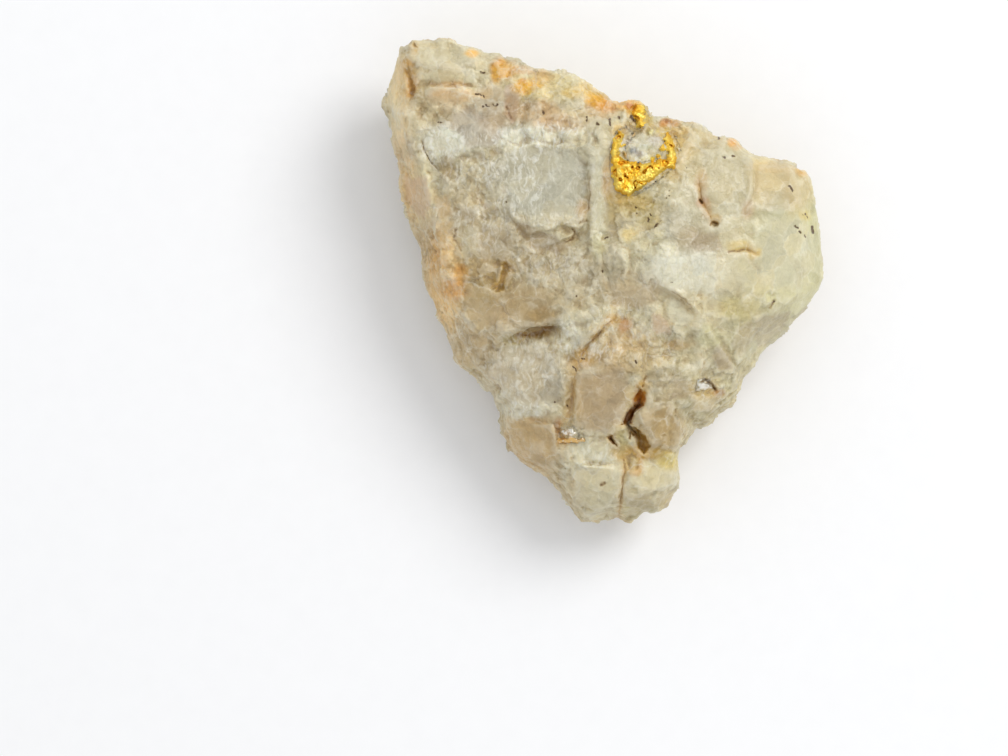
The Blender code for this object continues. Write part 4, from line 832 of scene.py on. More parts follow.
STAINS = (
    ((497, 70), (8, 9), ORANGE, 1.0), ((494, 76), (5, 8), MUSTARD, 0.9), ((503, 76), (5, 4), ORANGE, 0.9),
    ((506, 72), (14, 9), linear(220, 176, 92), 0.7), ((521, 84), (3.5, 3), RUST, 1.0),
    ((527, 87), (15, 6), MUSTARD, 0.8),
    ((522, 92), (11, 5), MUSTARD, 0.8), ((535, 95), (10, 6), linear(222, 196, 118), 0.6),
    ((470, 55), (6.5, 4.5), linear(232, 180, 74), 0.95),
    ((593, 101), (10, 8), MUSTARD, 0.95), ((598, 104), (8, 6), MUSTARD, 0.9),
    ((585, 92), (12, 8), linear(222, 186, 102), 0.6),
    ((604, 108), (10, 6), linear(214, 152, 76), 0.7), ((520, 72), (14, 4), linear(206, 164, 124), 0.6),
    ((540, 78), (8, 7), linear(212, 170, 104), 0.5), ((570, 95), (9, 5), linear(222, 190, 110), 0.6),
    ((626, 106), (12, 6), linear(232, 178, 84), 0.9), ((640, 105), (8, 4), linear(226, 178, 84), 0.8),
    ((662, 127), (5, 6), RUST, 0.85), ((668, 124), (10, 5), linear(214, 156, 92), 0.7),
    ((680, 133), (12, 6), linear(212, 180, 120), 0.5),
    ((731, 143), (5, 4), linear(224, 164, 66), 0.95), ((735, 148), (5, 4), linear(214, 170, 96), 0.6),
    ((406, 74), (5, 12), OCHRE, 0.7), ((410, 86), (5, 9), linear(192, 138, 64), 0.85),
    ((408, 96), (4, 5), linear(196, 140, 70), 0.8),
    ((403, 84), (12, 26), linear(206, 176, 122), 0.5), ((412, 50), (5, 8), linear(210, 176, 112), 0.6),
    # The first patch on the next line is the painted shadow line under the brown ledge.
    ((448, 87), (20, 3), linear(184, 144, 92), 0.6), ((455, 97), (24, 6), linear(196, 166, 120), 0.6),
    ((432, 252), (7, 22), linear(186, 150, 84), 0.7), ((459, 274), (7, 10), linear(206, 164, 96), 0.8),
    ((452, 290), (14, 10), linear(194, 150, 92), 0.6), ((445, 170), (8, 12), linear(184, 158, 112), 0.6),
    ((500, 276), (9, 14), OLIVE, 0.8), ((490, 290), (14, 12), linear(174, 148, 88), 0.6),
    # The first two patches on the next line are painted shade in the overhung olive recess.
    ((532, 333), (20, 6), linear(138, 112, 54), 0.85), ((545, 327), (8, 4), linear(140, 110, 52), 0.8),
    ((512, 340), (10, 5), linear(176, 156, 96), 0.7),
    ((540, 315), (16, 8), linear(180, 150, 96), 0.6), ((622, 325), (6, 8), linear(190, 140, 84), 0.8),
    ((610, 320), (8, 6), linear(206, 172, 110), 0.7), ((598, 334), (8, 8), linear(214, 188, 130), 0.6),
    ((582, 356), (12, 9), linear(200, 160, 84), 0.8), ((578, 364), (10, 5), OCHRE, 0.6),
    ((570, 400), (9, 40), linear(200, 174, 124), 0.6),
    ((556, 425), (4, 8), linear(150, 100, 40), 0.8), ((560, 440), (6, 6), linear(196, 156, 92), 0.6),
    ((638, 392), (6, 8), linear(150, 100, 10), 0.7), ((642, 386), (6, 6), linear(198, 164, 84), 0.6),
    ((628, 398), (6, 12), linear(190, 164, 96), 0.6), ((640, 452), (16, 7), linear(176, 136, 48), 0.85),
    ((655, 452), (18, 5), linear(206, 172, 84), 0.8), ((668, 460), (12, 9), linear(218, 202, 130), 0.85),
    ((620, 452), (12, 7), linear(202, 168, 92), 0.7), ((635, 464), (5, 9), linear(198, 150, 66), 0.8),
    ((620, 437), (8, 12), linear(186, 176, 128), 0.7), ((616, 428), (8, 5), linear(190, 178, 138), 0.5),
    ((630, 470), (9, 4), linear(206, 172, 112), 0.6), ((706, 394), (15, 5), linear(186, 158, 100), 0.8),
    ((692, 388), (5, 9), linear(190, 168, 120), 0.7),
    ((717, 392), (6, 3), linear(178, 126, 62), 0.7), ((700, 203), (6, 6), linear(196, 148, 108), 0.8),
    ((699, 185), (6, 14), linear(210, 180, 140), 0.6), ((714, 220), (6, 5), linear(210, 176, 104), 0.7),
    ((705, 212), (5, 9), linear(200, 168, 120), 0.6),
    ((738, 247), (12, 5), linear(214, 190, 118), 0.7), ((752, 254), (7, 5), linear(214, 196, 128), 0.7),
    ((803, 216), (6, 5), linear(214, 190, 112), 0.6), ((803, 172), (8, 5), linear(216, 170, 90), 0.7),
    ((775, 168), (26, 6), linear(216, 186, 132), 0.5),
    ((620, 200), (18, 8), linear(190, 160, 84), 0.8), ((606, 178), (6, 20), linear(200, 168, 120), 0.7),
    ((640, 204), (18, 9), linear(180, 160, 100), 0.7), ((668, 175), (12, 8), linear(200, 176, 116), 0.6),
    ((680, 150), (9, 16), linear(208, 182, 120), 0.6), ((640, 128), (16, 6), linear(196, 160, 84), 0.6),
    ((640, 152), (18, 12), linear(206, 200, 178), 0.8),
    ((630, 153), (4, 3.5), linear(140, 146, 158), 0.8), ((636, 156), (5, 2.5), linear(168, 156, 160), 0.6),
    ((624, 144), (6, 4), linear(176, 160, 150), 0.6), ((643, 149), (8, 3), linear(184, 186, 164), 0.6),
    ((650, 160), (10, 3), linear(232, 222, 176), 0.6), ((655, 142), (9, 5), linear(186, 174, 168), 0.6),
    ((662, 132), (8, 5), linear(214, 186, 104), 0.7), ((634, 112), (12, 7), linear(224, 180, 84), 0.9),
    ((627, 108), (4, 4), linear(222, 144, 60), 0.8), ((644, 118), (6, 10), linear(214, 190, 108), 0.8),
    ((632, 121), (5, 4), linear(134, 108, 40), 0.9), ((639, 127), (5, 3), linear(140, 118, 52), 0.8),
    ((648, 133), (4.5, 4), linear(150, 132, 70), 0.8), ((649, 133), (2.5, 2), linear(240, 234, 180), 0.9),
    ((616, 132), (7, 8), linear(214, 180, 108), 0.6), ((655, 236), (5, 4), linear(216, 206, 166), 0.5),
    ((626, 236), (8, 6), linear(218, 200, 140), 0.6), ((648, 222), (10, 8), linear(186, 170, 116), 0.5),
    ((580, 210), (6, 9), linear(190, 160, 116), 0.7), ((602, 185), (3, 12), linear(206, 176, 130), 0.6),
)
# Partly painted light: brightness factors per region of the tone. Sides on the left that face away from the
# lamp are brightened, as painted light, and parts on the right that face it are darkened, as painted shade;
# the others set the tone.
LIGHT_AND_TONE_LEVELS = (
    ("left rim", (384, 55, 404, 150), (1.342, 1.344, 1.334)),
    ("under the ledge", (428, 90, 470, 108), (1.284, 1.274, 1.361)),
    ("tan plate", (478, 86, 502, 132), (1.13, 1.06, 1.02)),
    ("lavender face", (453, 116, 492, 147), (1.09, 1.13, 1.16)),
    ("left side", (396, 165, 428, 222), (1.314, 1.295, 1.231)),
    ("lower left side", (428, 235, 456, 330), (1.370, 1.251, 1.061)),
    ("below the gold", (610, 202, 658, 238), (1.13, 1.09, 1.04)),
    ("tan in the middle", (608, 284, 652, 306), (1.16, 1.17, 1.20)),
    ("low middle", (606, 338, 662, 368), (1.177, 1.102, 0.972)),
    ("block", (576, 370, 622, 428), (1.10, 1.04, 0.98)),
    ("proud block", (640, 408, 678, 446), (0.90, 0.85, 0.76)),
    ("right lobe", (630, 456, 674, 490), (0.95, 0.92, 0.85)),
    ("right of the gold", (682, 148, 748, 204), (0.87, 0.86, 0.83)),
    ("right plate", (750, 166, 794, 212), (0.89, 0.90, 0.90)),
    ("far right", (752, 226, 812, 286), (1.0, 1.0, 1.16)),
    ("white field", (656, 256, 712, 298), (0.96, 0.95, 0.93)),
    ("brown face", (503, 290, 550, 324), (0.92, 0.92, 0.91)),
    ("lower lobe side", (506, 422, 550, 467), (1.09, 1.04, 0.95)),
    ("middle right", (666, 198, 714, 252), (0.90, 0.89, 0.88)),
)

LEVEL_RIM = 4


def patch_cover(middle, radii, soft):
    """How strongly an elliptical patch covers each point."""
    away = np.linalg.norm((plan - on_stone(middle)) / (np.array(radii) * MM_PER_PIXEL), axis=1)
    return (1 - smooth_step(away, 1 - soft, 1 + soft)) * facing_up


SIDE_COLOUR = linear(200, 184, 148)
tone = np.tile(CREAM, (len(points), 1))
low_side = 1 - smooth_step(points[:, 2], 4.0, 11.0)
tone += (SIDE_COLOUR - tone) * (low_side * 0.8)[:, None]
blotch = smooth_step(noise_at(points, 3.4, 60), -0.1, 0.5) * (1 - facing_up)
tone += (WARM_TAN - tone) * (blotch * 0.7)[:, None]
pale_blotch = smooth_step(noise_at(points, 2.2, 70), 0.05, 0.5) * (1 - facing_up)
tone += (FROST - tone) * (pale_blotch * 0.5)[:, None]
under_stain = smooth_step(noise_at(points, 1.6, 80), 0.3, 0.6) * (1 - facing_up)
tone += (OCHRE - tone) * (under_stain * 0.5)[:, None]

for middle, radii, colour, cover in PATCHES:
    share = patch_cover(middle, radii, 0.45) * cover
    tone += (colour - tone) * share[:, None]
for name, (rows, share) in face_shares.items():
    colour, cover = FACES[name][3:]
    tone[rows] += (colour - tone[rows]) * (share * cover)[:, None]
for middle, radii, colour, cover in STAINS:
    share = patch_cover(middle, radii, 0.5) * cover
    tone += (colour - tone) * share[:, None]
for _, (x0, y0, x1, y1), factors in LIGHT_AND_TONE_LEVELS:
    middle = ((x0 + x1) / 2, (y0 + y1) / 2)
    radii = ((x1 - x0) / 2 + LEVEL_RIM, (y1 - y0) / 2 + LEVEL_RIM)
    share = patch_cover(middle, radii, 0.35)[:, None]
    tone *= 1 + (np.array(factors) - 1) * share
tone += (OCHRE - tone) * (stain * 0.75)[:, None]
tone += (WARM_TAN * 0.6 - tone) * (drop_shadow * 0.55)[:, None]
tone += (DARK_BROWN - tone) * (brown * 0.9)[:, None]
tone += (linear(200, 158, 70) - tone) * (mouth_stain * 0.6)[:, None]
for rows, share, colour in inside_holes:
    tone[rows] += (colour - tone[rows]) * (share * 0.9)[:, None]
print("mean tone:", [round(float(c), 3) for c in tone.mean(0)])

# %% [markdown]
# Frost and hollows
#
# Two more values go to the shader. Frost is the bruised, whitened quartz along ledges; it breaks into
# fine white strokes. Hollow is how far a point lies below its neighbours, measured by comparing it
# with the average around it: the stone's colour is browned in hollows and paled on edges. The gold
# and the grains use the same measure for painted shade in their hollows.

# %% Frost and hollow masks
FROSTED = (
    ((440, 145), (26, 18), 0.9), ((500, 142), (30, 10), 0.8), ((540, 138), (42, 14), 1.0),
    ((525, 175), (26, 40), 0.7),
    ((505, 205), (16, 12), 0.6), ((548, 222), (30, 8), 0.5), ((490, 172), (24, 22), 0.6),
    ((455, 176), (26, 18), 0.4),
    ((575, 200), (14, 30), 0.3), ((595, 195), (10, 45), 0.4), ((600, 320), (16, 14), 0.6),
    ((640, 345), (34, 22), 0.3),
    ((600, 350), (26, 10), 0.6), ((520, 370), (40, 36), 0.5), ((520, 408), (26, 8), 0.8),
    ((565, 338), (12, 20), 0.7),
    ((680, 272), (36, 20), 0.4), ((590, 455), (24, 14), 0.5), ((545, 265), (40, 20), 0.4),
    ((480, 225), (40, 30), 0.4),
    ((640, 150), (22, 14), 0.5), ((625, 310), (14, 12), 0.5),
)
frost = np.zeros(len(points))
for middle, radii, share in FROSTED:
    frost = np.maximum(frost, patch_cover(middle, radii, 0.5) * share)
frost = np.maximum(frost, pale_blotch * 0.6)

STONE_ROUNDS = 14


def hollowness(mesh, places, facing, rounds):
    """How far each point lies below the average around it, along its normal."""
    return ((averaged(mesh, places, rounds) - places) * facing).sum(1)


normals = read_normals(stone_mesh)
hollow = hollowness(stone_mesh, points, normals, STONE_ROUNDS)
print("hollow, mm:", round(float(hollow.min()), 3), "to", round(float(hollow.max()), 3))


def store_value(mesh, name, values):
    layer = mesh.attributes.new(name, "FLOAT", "POINT")
    layer.data.foreach_set("value", values.astype(np.float32))


def store_colour(mesh, name, values):
    layer = mesh.attributes.new(name, "FLOAT_COLOR", "POINT")
    rgba = np.column_stack((values, np.ones(len(values))))
    layer.data.foreach_set("color", rgba.astype(np.float32).ravel())


store_colour(stone_mesh, "tone", np.clip(tone, 0, 1))
store_value(stone_mesh, "frost", frost)
store_value(stone_mesh, "hollow", hollow)
store_value(stone_mesh, "calm", calm)
store_value(stone_mesh, "dark", dark)

# %% [markdown]
# A helper for shader trees
#
# Node trees take many lines by hand. The small class below adds a node with its values, and links a
# socket when it is given one. It only saves typing: everything it makes can be opened in the Shader
# Editor.

# %% Node helper
class Tree:
    def __init__(self, tree):
        self.tree = tree

    def add(self, kind, inputs=None, **settings):
        node = self.tree.nodes.new(kind)
        for name, value in settings.items():
            setattr(node, name, value)
        for name, value in (inputs or {}).items():
            if isinstance(value, bpy.types.NodeSocket):
                self.tree.links.new(value, node.inputs[name])
            else:
                node.inputs[name].default_value = value
        return node

    def math(self, operation, first, second=0.0, clamp=False):
        node = self.add("ShaderNodeMath", {0: first, 1: second}, operation=operation)
        node.use_clamp = clamp
        return node.outputs[0]

    def mix(self, factor, first, second, blend="MIX"):
        node = self.add("ShaderNodeMix", data_type="RGBA", blend_type=blend)
        for index, value in ((0, factor), (6, first), (7, second)):
            if isinstance(value, bpy.types.NodeSocket):
                self.tree.links.new(value, node.inputs[index])
            else:
                node.inputs[index].default_value = value
        return node.outputs[2]

    def ramp(self, value, low, high):
        """The value stretched so that low becomes 0 and high becomes 1."""
        node = self.add(
            "ShaderNodeMapRange", {"Value": value, "From Min": low, "From Max": high}, clamp=True
        )
        return node.outputs[0]

    def attribute(self, name):
        return self.add("ShaderNodeAttribute", attribute_name=name)


def new_material(name):
    material = bpy.data.materials.new(name)
    material.use_nodes = True
    tree = Tree(material.node_tree)
    shader = material.node_tree.nodes["Principled BSDF"]
    return material, tree, shader


def rgba(colour):
    return (float(colour[0]), float(colour[1]), float(colour[2]), 1.0)


# %% [markdown]
# Grain that both materials share
#
# Stone and gold both carry grain finer than the mesh. It is one node group with a size and a contrast,
# and it puts out a speckle to colour with and a height for the bump. A group is built once and placed
# in each material with its own values, so a change to it reaches both.

# %% The fine grain group
def make_grain_group():
    group = bpy.data.node_groups.new("fine grain", "ShaderNodeTree")
    for name, default in (("Size", 0.3), ("Contrast", 1.0)):
        socket = group.interface.new_socket(name, in_out="INPUT", socket_type="NodeSocketFloat")
        socket.default_value = default
    for name in ("Speckle", "Height"):
        group.interface.new_socket(name, in_out="OUTPUT", socket_type="NodeSocketFloat")
    tree = Tree(group)
    given = tree.add("NodeGroupInput")
    result = tree.add("NodeGroupOutput")
    place = tree.add("ShaderNodeTexCoord").outputs["Object"]
    scale = tree.math("DIVIDE", 1000.0, given.outputs["Size"])
    cloud = tree.add(
        "ShaderNodeTexNoise", {"Vector": place, "Scale": scale, "Detail": 4.0, "Roughness": 0.62}
    )
    finer = tree.math("MULTIPLY", scale, 1.7)
    cells = tree.add("ShaderNodeTexVoronoi", {"Vector": place, "Scale": finer}, feature="F1")
    both = tree.math("ADD", cloud.outputs[0], tree.math("MULTIPLY", cells.outputs["Distance"], 0.5))
    middle = tree.math("SUBTRACT", both, 0.72)
    spread = tree.math("MULTIPLY", middle, given.outputs["Contrast"])
    group.links.new(spread, result.inputs["Speckle"])
    group.links.new(both, result.inputs["Height"])
    return group


grain_group = make_grain_group()


def add_grain(tree, size, contrast):
    return tree.add("ShaderNodeGroup", {"Size": size, "Contrast": contrast}, node_tree=grain_group)


# %% [markdown]
# Milky quartz
#
# Milky quartz is white because of countless tiny fluid bubbles: light goes in a little way, scatters
# and comes out again. Subsurface scattering gives that softness. The painted tone is the base; the
# grain varies it, hollows are browned, edges are paled, and frost breaks up into white strokes. The
# smooth faces are glossier than the broken ground, so roughness follows the calm mask.

# %% The quartz material
def brightness_of(tree, level):
    """A grey colour with a linked level, to multiply a colour with."""
    grey = tree.add("ShaderNodeCombineColor", {"Red": level, "Green": level, "Blue": level})
    return grey.outputs[0]


def mosaic(tree, place, scale, amount):
    """Per-cell brightness around 1 and a thin line mask along the cell borders."""
    cells = tree.add("ShaderNodeTexVoronoi", {"Vector": place, "Scale": scale}, feature="F1")
    split = tree.add("ShaderNodeSeparateColor", {"Color": cells.outputs["Color"]})
    level = tree.math("MULTIPLY", tree.math("SUBTRACT", split.outputs[0], 0.5), amount)
    edges = tree.add("ShaderNodeTexVoronoi", {"Vector": place, "Scale": scale}, feature="DISTANCE_TO_EDGE")
    line = tree.ramp(edges.outputs["Distance"], 0.06, 0.0)
    return level, line, split.outputs[1]


def tilted_facets(tree, place, scale, tilt):
    """Height in metres of small flat cells, each tilted its own way."""
    cells = tree.add("ShaderNodeTexVoronoi", {"Vector": place, "Scale": scale}, feature="F1")
    away = tree.add(
        "ShaderNodeVectorMath", {0: place, 1: cells.outputs["Position"]}, operation="SUBTRACT"
    )
    lean = tree.add(
        "ShaderNodeVectorMath", {0: cells.outputs["Color"], 1: (0.5, 0.5, 0.5)}, operation="SUBTRACT"
    )
    dot = tree.add("ShaderNodeVectorMath", {0: away.outputs[0], 1: lean.outputs[0]}, operation="DOT_PRODUCT")
    return tree.math("MULTIPLY", dot.outputs["Value"], tilt)


def warped_place(tree):
    """Object coordinates that wander, so that cell borders bend."""
    place = tree.add("ShaderNodeTexCoord").outputs["Object"]
    drift = tree.add("ShaderNodeTexNoise", {"Vector": place, "Scale": 700.0, "Detail": 3.0})
    shift = tree.add("ShaderNodeVectorMath", {0: drift.outputs[1], 1: (0.5, 0.5, 0.5)}, operation="SUBTRACT")
    push = tree.add("ShaderNodeVectorMath", {0: shift.outputs[0], "Scale": 0.0016}, operation="SCALE")
    return tree.add("ShaderNodeVectorMath", {0: place, 1: push.outputs[0]}, operation="ADD").outputs[0]


def make_quartz_material():
    material, tree, shader = new_material("milky_quartz")
    tone = tree.attribute("tone").outputs["Color"]
    frost = tree.attribute("frost").outputs["Fac"]
    hollow = tree.attribute("hollow").outputs["Fac"]
    calm = tree.attribute("calm").outputs["Fac"]
    dark = tree.attribute("dark").outputs["Fac"]
    place = warped_place(tree)
    broken = tree.math("SUBTRACT", 1.1, calm)

    large_level, large_line, hue = mosaic(tree, place, 420.0, 0.18)
    small_level, small_line, _ = mosaic(tree, place, 1150.0, 0.17)
    cloud = tree.add(
        "ShaderNodeTexNoise", {"Vector": place, "Scale": 330.0, "Detail": 6.0, "Roughness": 0.62}
    )
    cloud_level = tree.math("MULTIPLY", tree.math("SUBTRACT", cloud.outputs[0], 0.5), 0.42)
    grain = add_grain(tree, 0.42, 1.0)
    speckle = tree.math("MULTIPLY", grain.outputs["Speckle"], 0.16)
    cells = tree.math("ADD", large_level, tree.math("MULTIPLY", small_level, broken))
    level = tree.math("ADD", tree.math("ADD", 1.02, cloud_level), tree.math("ADD", cells, speckle))
    colour = tree.mix(1.0, tone, brightness_of(tree, level), "MULTIPLY")
    colour = tree.mix(1.0, colour, (0.95, 0.94, 0.83, 1.0), "MULTIPLY")
    warm = tree.mix(1.0, colour, (1.0, 0.93, 0.80, 1.0), "MULTIPLY")
    colour = tree.mix(tree.math("MULTIPLY", hue, 0.55), colour, warm)

    deep = tree.ramp(hollow, 0.01, 0.12)
    browned = tree.mix(1.0, colour, rgba(linear(206, 176, 128)), "MULTIPLY")
    colour = tree.mix(tree.math("MULTIPLY", deep, 0.5), colour, browned)
    edge = tree.math("MULTIPLY", tree.ramp(hollow, -0.008, -0.05), 0.22)
    broken_line = tree.ramp(cloud.outputs[0], 0.42, 0.62)
    lines = tree.math("ADD", large_line, tree.math("MULTIPLY", small_line, 0.5))
    bruise = tree.math("MULTIPLY", tree.math("MULTIPLY", lines, broken_line), 0.32)
    colour = tree.mix(tree.math("ADD", edge, bruise, clamp=True), colour, rgba(linear(232, 228, 210)))

    stretch = tree.add("ShaderNodeMapping", {"Vector": place, "Scale": (3800.0, 1100.0, 2200.0)})
    strokes = tree.add("ShaderNodeTexNoise", {"Vector": stretch.outputs[0], "Scale": 1.0, "Detail": 4.0})
    stroke_mask = tree.math("MULTIPLY", tree.ramp(strokes.outputs[0], 0.47, 0.63), frost)
    colour = tree.mix(tree.math("MULTIPLY", stroke_mask, 0.68), colour, rgba(linear(242, 241, 231)))
    uneven = tree.math("ADD", dark, tree.math("MULTIPLY", grain.outputs["Speckle"], 0.7))
    colour = tree.mix(tree.math("MULTIPLY", tree.ramp(uneven, 0.42, 0.7), 0.92), colour, rgba(BLACK))

    tree.tree.links.new(colour, shader.inputs["Base Color"])
    roughness = tree.math("SUBTRACT", 0.44, tree.math("MULTIPLY", calm, 0.1))
    tree.tree.links.new(roughness, shader.inputs["Roughness"])
    large_facets = tilted_facets(tree, place, 1000.0, 0.42)
    small_facets = tilted_facets(tree, place, 2300.0, 0.4)
    facets = tree.math("ADD", large_facets, small_facets)
    fine = tree.math("MULTIPLY", grain.outputs["Height"], 0.00003)
    ridges = tree.math("ADD", tree.math("MULTIPLY", facets, tree.math("ADD", broken, 0.15)), fine)
    bump = tree.add("ShaderNodeBump", {"Height": ridges, "Strength": 1.0, "Distance": 1.0})
    tree.tree.links.new(bump.outputs[0], shader.inputs["Normal"])
    shader.inputs["Subsurface Weight"].default_value = 0.6
    shader.inputs["Subsurface Radius"].default_value = (1.0, 0.9, 0.7)
    shader.inputs["Subsurface Scale"].default_value = 0.0006
    shader.inputs["IOR"].default_value = 1.54
    return material


stone_mesh.materials.append(make_quartz_material())

# %% [markdown]
# Crusts that follow the stone
#
# Gold and the bright grains grew in the quartz, so they follow its surface and end in ragged edges.
# Each is made as a crust: a fine grid seen from above, laid on the stone, kept only where a cover
# value is above zero, raised by torn noise and closed underneath inside the stone. Cover falls off at
# the drawn outline and is disturbed by noise, and that gives holes, islands and ragged borders. The
# same function serves all four pieces.

# %% The crust function
CRUST_ROOT = 0.6
CRUST_EDGE = -0.12
CRUST_CREASE = 40
CRUST_ROUNDS = 10


def stone_tree():
    """A tree for finding the stone's height by casting a ray down."""
    corners = np.zeros(len(stone_mesh.loops), np.int32)
    stone_mesh.loops.foreach_get("vertex_index", corners)
    return BVHTree.FromPolygons(points.tolist(), corners.reshape(-1, 3).tolist())


stone_finder = stone_tree()
ABOVE = 30.0
OFF_STONE = -1.0


def stone_height(x, y):
    hit = stone_finder.ray_cast(Vector((x, y, ABOVE)), Vector((0, 0, -1)))
    return hit[0].z if hit[0] else OFF_STONE


def ridged(places, size, shift):
    """Noise with sharp crests, from -1 to 1."""
    return 1 - 2 * np.abs(noise_at(places, size, shift))


def flat_places(spots):
    return np.column_stack((spots, np.zeros(len(spots))))


def ragged(spots, outlines, dots=()):
    """How far inside the outlines and dots each spot lies, with a ragged edge."""
    cover = np.full(len(spots), -1e9)
    for outline in outlines:
        cover = np.maximum(cover, depth_inside(spots, on_stone(outline)))
    for middle, radius in dots:
        away = np.linalg.norm(spots - on_stone(middle), axis=1)
        cover = np.maximum(cover, radius * MM_PER_PIXEL - away)
    flat = flat_places(spots)
    return cover + noise_at(flat, 0.7, 31) * 0.16 + noise_at(flat, 0.3, 33) * 0.10


def closed_faces(kept, shape):
    """Quads of the upper skin, the lower skin and the side walls of a kept part of a grid."""
    number = -np.ones(shape, int)
    number[kept] = np.arange(kept.sum())
    count = int(kept.sum())
    upper = []
    for i, j in zip(*np.nonzero(kept[:-1, :-1] & kept[1:, :-1] & kept[1:, 1:] & kept[:-1, 1:])):
        upper.append((number[i, j], number[i + 1, j], number[i + 1, j + 1], number[i, j + 1]))
    edges = {(face[k], face[(k + 1) % 4]) for face in upper for k in range(4)}
    lower = [tuple(v + count for v in reversed(face)) for face in upper]
    walls = [(b, a, a + count, b + count) for a, b in sorted(edges) if (b, a) not in edges]
    return [tuple(int(v) for v in face) for face in upper + lower + walls]


def grow_crust(name, frame_pixels, spacing, cover_of, rise_of):
    """A closed ragged crust on the stone. rise_of gives its height from places and cover."""
    low, high = on_stone(frame_pixels).min(0), on_stone(frame_pixels).max(0)
    columns = np.arange(low[0], high[0], spacing)
    rows = np.arange(low[1], high[1], spacing)
    grid_x, grid_y = np.meshgrid(columns, rows, indexing="ij")
    spots = np.column_stack((grid_x.ravel(), grid_y.ravel()))
    cover = cover_of(spots)
    ground = np.array([stone_height(x, y) for x, y in spots])
    kept = ((cover > CRUST_EDGE) & (ground > OFF_STONE)).reshape(grid_x.shape)
    spots = spots[kept.ravel()]
    cover = cover[kept.ravel()]
    ground = ground[kept.ravel()]
    flat = flat_places(spots)
    shift_x = noise_at(flat, 0.45, 41) * 0.09
    shift_y = noise_at(flat, 0.45, 43) * 0.09
    top = np.column_stack((spots[:, 0] + shift_x, spots[:, 1] + shift_y, ground + rise_of(flat, cover)))
    bottom = np.column_stack((spots, ground - CRUST_ROOT))
    mesh = bpy.data.meshes.new(name)
    places = np.vstack((top, bottom))
    mesh.from_pydata((places * MM).tolist(), [], closed_faces(kept, grid_x.shape))
    mesh.update()
    facing = read_normals(mesh)
    store_value(mesh, "hollow", hollowness(mesh, places, facing, CRUST_ROUNDS))
    mesh.shade_smooth()
    mesh.set_sharp_from_angle(angle=math.radians(CRUST_CREASE))
    piece = bpy.data.objects.new(name, mesh)
    bpy.context.scene.collection.objects.link(piece)
    print(name, "faces:", len(mesh.polygons))
    return piece


# %% [markdown]
# Native gold
#
# Gold tears instead of breaking, so its surface is hackly: crumpled sheets, ridges and holes. The
# outlines are drawn from the photograph: a horseshoe that is wide below and thin on the left, with a
# glassy eye of quartz left free inside, and a small lump above it. Ridged noise has sharp crests, and
# a second noise opens deep holes. The hollows are painted brown as shade, the deepest dark brown, and
# the crests stay nearly yellow-white.

# %% The gold pieces
GOLD_OUTLINE = (
    (619, 133), (614, 143), (611, 151), (612, 160), (612, 169), (612, 177), (615, 183), (616, 191),
    (623, 194), (630, 195), (636, 191), (641, 188), (645, 185), (651, 180), (658, 174), (665, 169),
    (673, 168), (674, 158), (673, 147), (670, 140), (666, 135), (663, 140), (667, 147), (667, 155),
    (666, 162), (660, 161), (653, 164), (647, 166), (639, 165), (630, 164), (623, 162), (618, 157),
    (617, 152), (619, 146), (621, 140), (622, 135),
)
GOLD_DOTS = (
    ((661, 149), 2.0), ((657, 157), 1.1), ((652, 160), 0.9), ((623, 147), 1.2), ((671, 157), 2.6),
    ((671, 164), 2.2), ((653, 170), 3.0), ((616, 172), 3.0),
)
GOLD_SPREAD = 0.12
BEAD_OUTLINES = (
   
    ((632, 113), (634, 109), (638, 106), (643, 107), (644, 112), (644, 118), (641, 122), (637, 121),
     (634, 118)),
    ((637, 120), (642, 117), (644, 124), (641, 129), (637, 127)),
)


def gold_rise(flat, cover):
    inner = smooth_step(cover, CRUST_EDGE, 0.38)
    body = inner * (0.62 + 0.18 * noise_at(flat, 1.2, 51))
    torn = ridged(flat, 0.85, 53) * 0.16 + ridged(flat, 0.36, 55) * 0.13 + noise_at(flat, 0.16, 57) * 0.04
    holes = smooth_step(noise_at(flat, 0.5, 59), 0.24, 0.42) * 0.42
    return body - 0.12 + (torn - holes) * (0.25 + 0.75 * inner)


def mass_cover(spots):
    return ragged(spots, (GOLD_OUTLINE,), dots=GOLD_DOTS) + GOLD_SPREAD


def bead_cover(spots):
    return ragged(spots, BEAD_OUTLINES) + GOLD_SPREAD / 2


def make_gold_material():
    material, tree, shader = new_material("native_gold")
    hollow = tree.attribute("hollow").outputs["Fac"]
    place = tree.add("ShaderNodeTexCoord").outputs["Object"]
    grain = add_grain(tree, 0.16, 1.0)
    patch = tree.add("ShaderNodeTexNoise", {"Vector": place, "Scale": 900.0, "Detail": 3.0})
    shine = tree.ramp(patch.outputs[0], 0.4, 0.62)
    rich = tree.mix(shine, rgba(linear(255, 232, 122)), rgba(linear(248, 202, 72)))
    # Painted shade: the gold's hollows are coloured brown, and the deepest dark brown.
    deep = tree.ramp(hollow, 0.01, 0.10)
    colour = tree.mix(deep, rich, rgba(linear(204, 150, 42)))
    deep_gold_shade = tree.ramp(hollow, 0.09, 0.18)
    colour = tree.mix(deep_gold_shade, colour, rgba(linear(112, 78, 18)))
    tree.tree.links.new(colour, shader.inputs["Base Color"])
    roughness = tree.math("ADD", 0.48, tree.math("MULTIPLY", grain.outputs["Speckle"], 0.3))
    tree.tree.links.new(roughness, shader.inputs["Roughness"])
    bump = tree.add(
        "ShaderNodeBump", {"Height": grain.outputs["Height"], "Strength": 0.5, "Distance": 0.00005}
    )
    tree.tree.links.new(bump.outputs[0], shader.inputs["Normal"])
    shader.inputs["Metallic"].default_value = 1.0
    return material


gold_mass = grow_crust("gold_horseshoe", ((606, 128), (679, 200)), 0.05, mass_cover, gold_rise)
gold_bead = grow_crust("gold_bead_lump", ((623, 103), (649, 133)), 0.045, bead_cover, gold_rise)
gold_material = make_gold_material()
for piece in (gold_mass, gold_bead):
    piece.data.materials.append(gold_material)
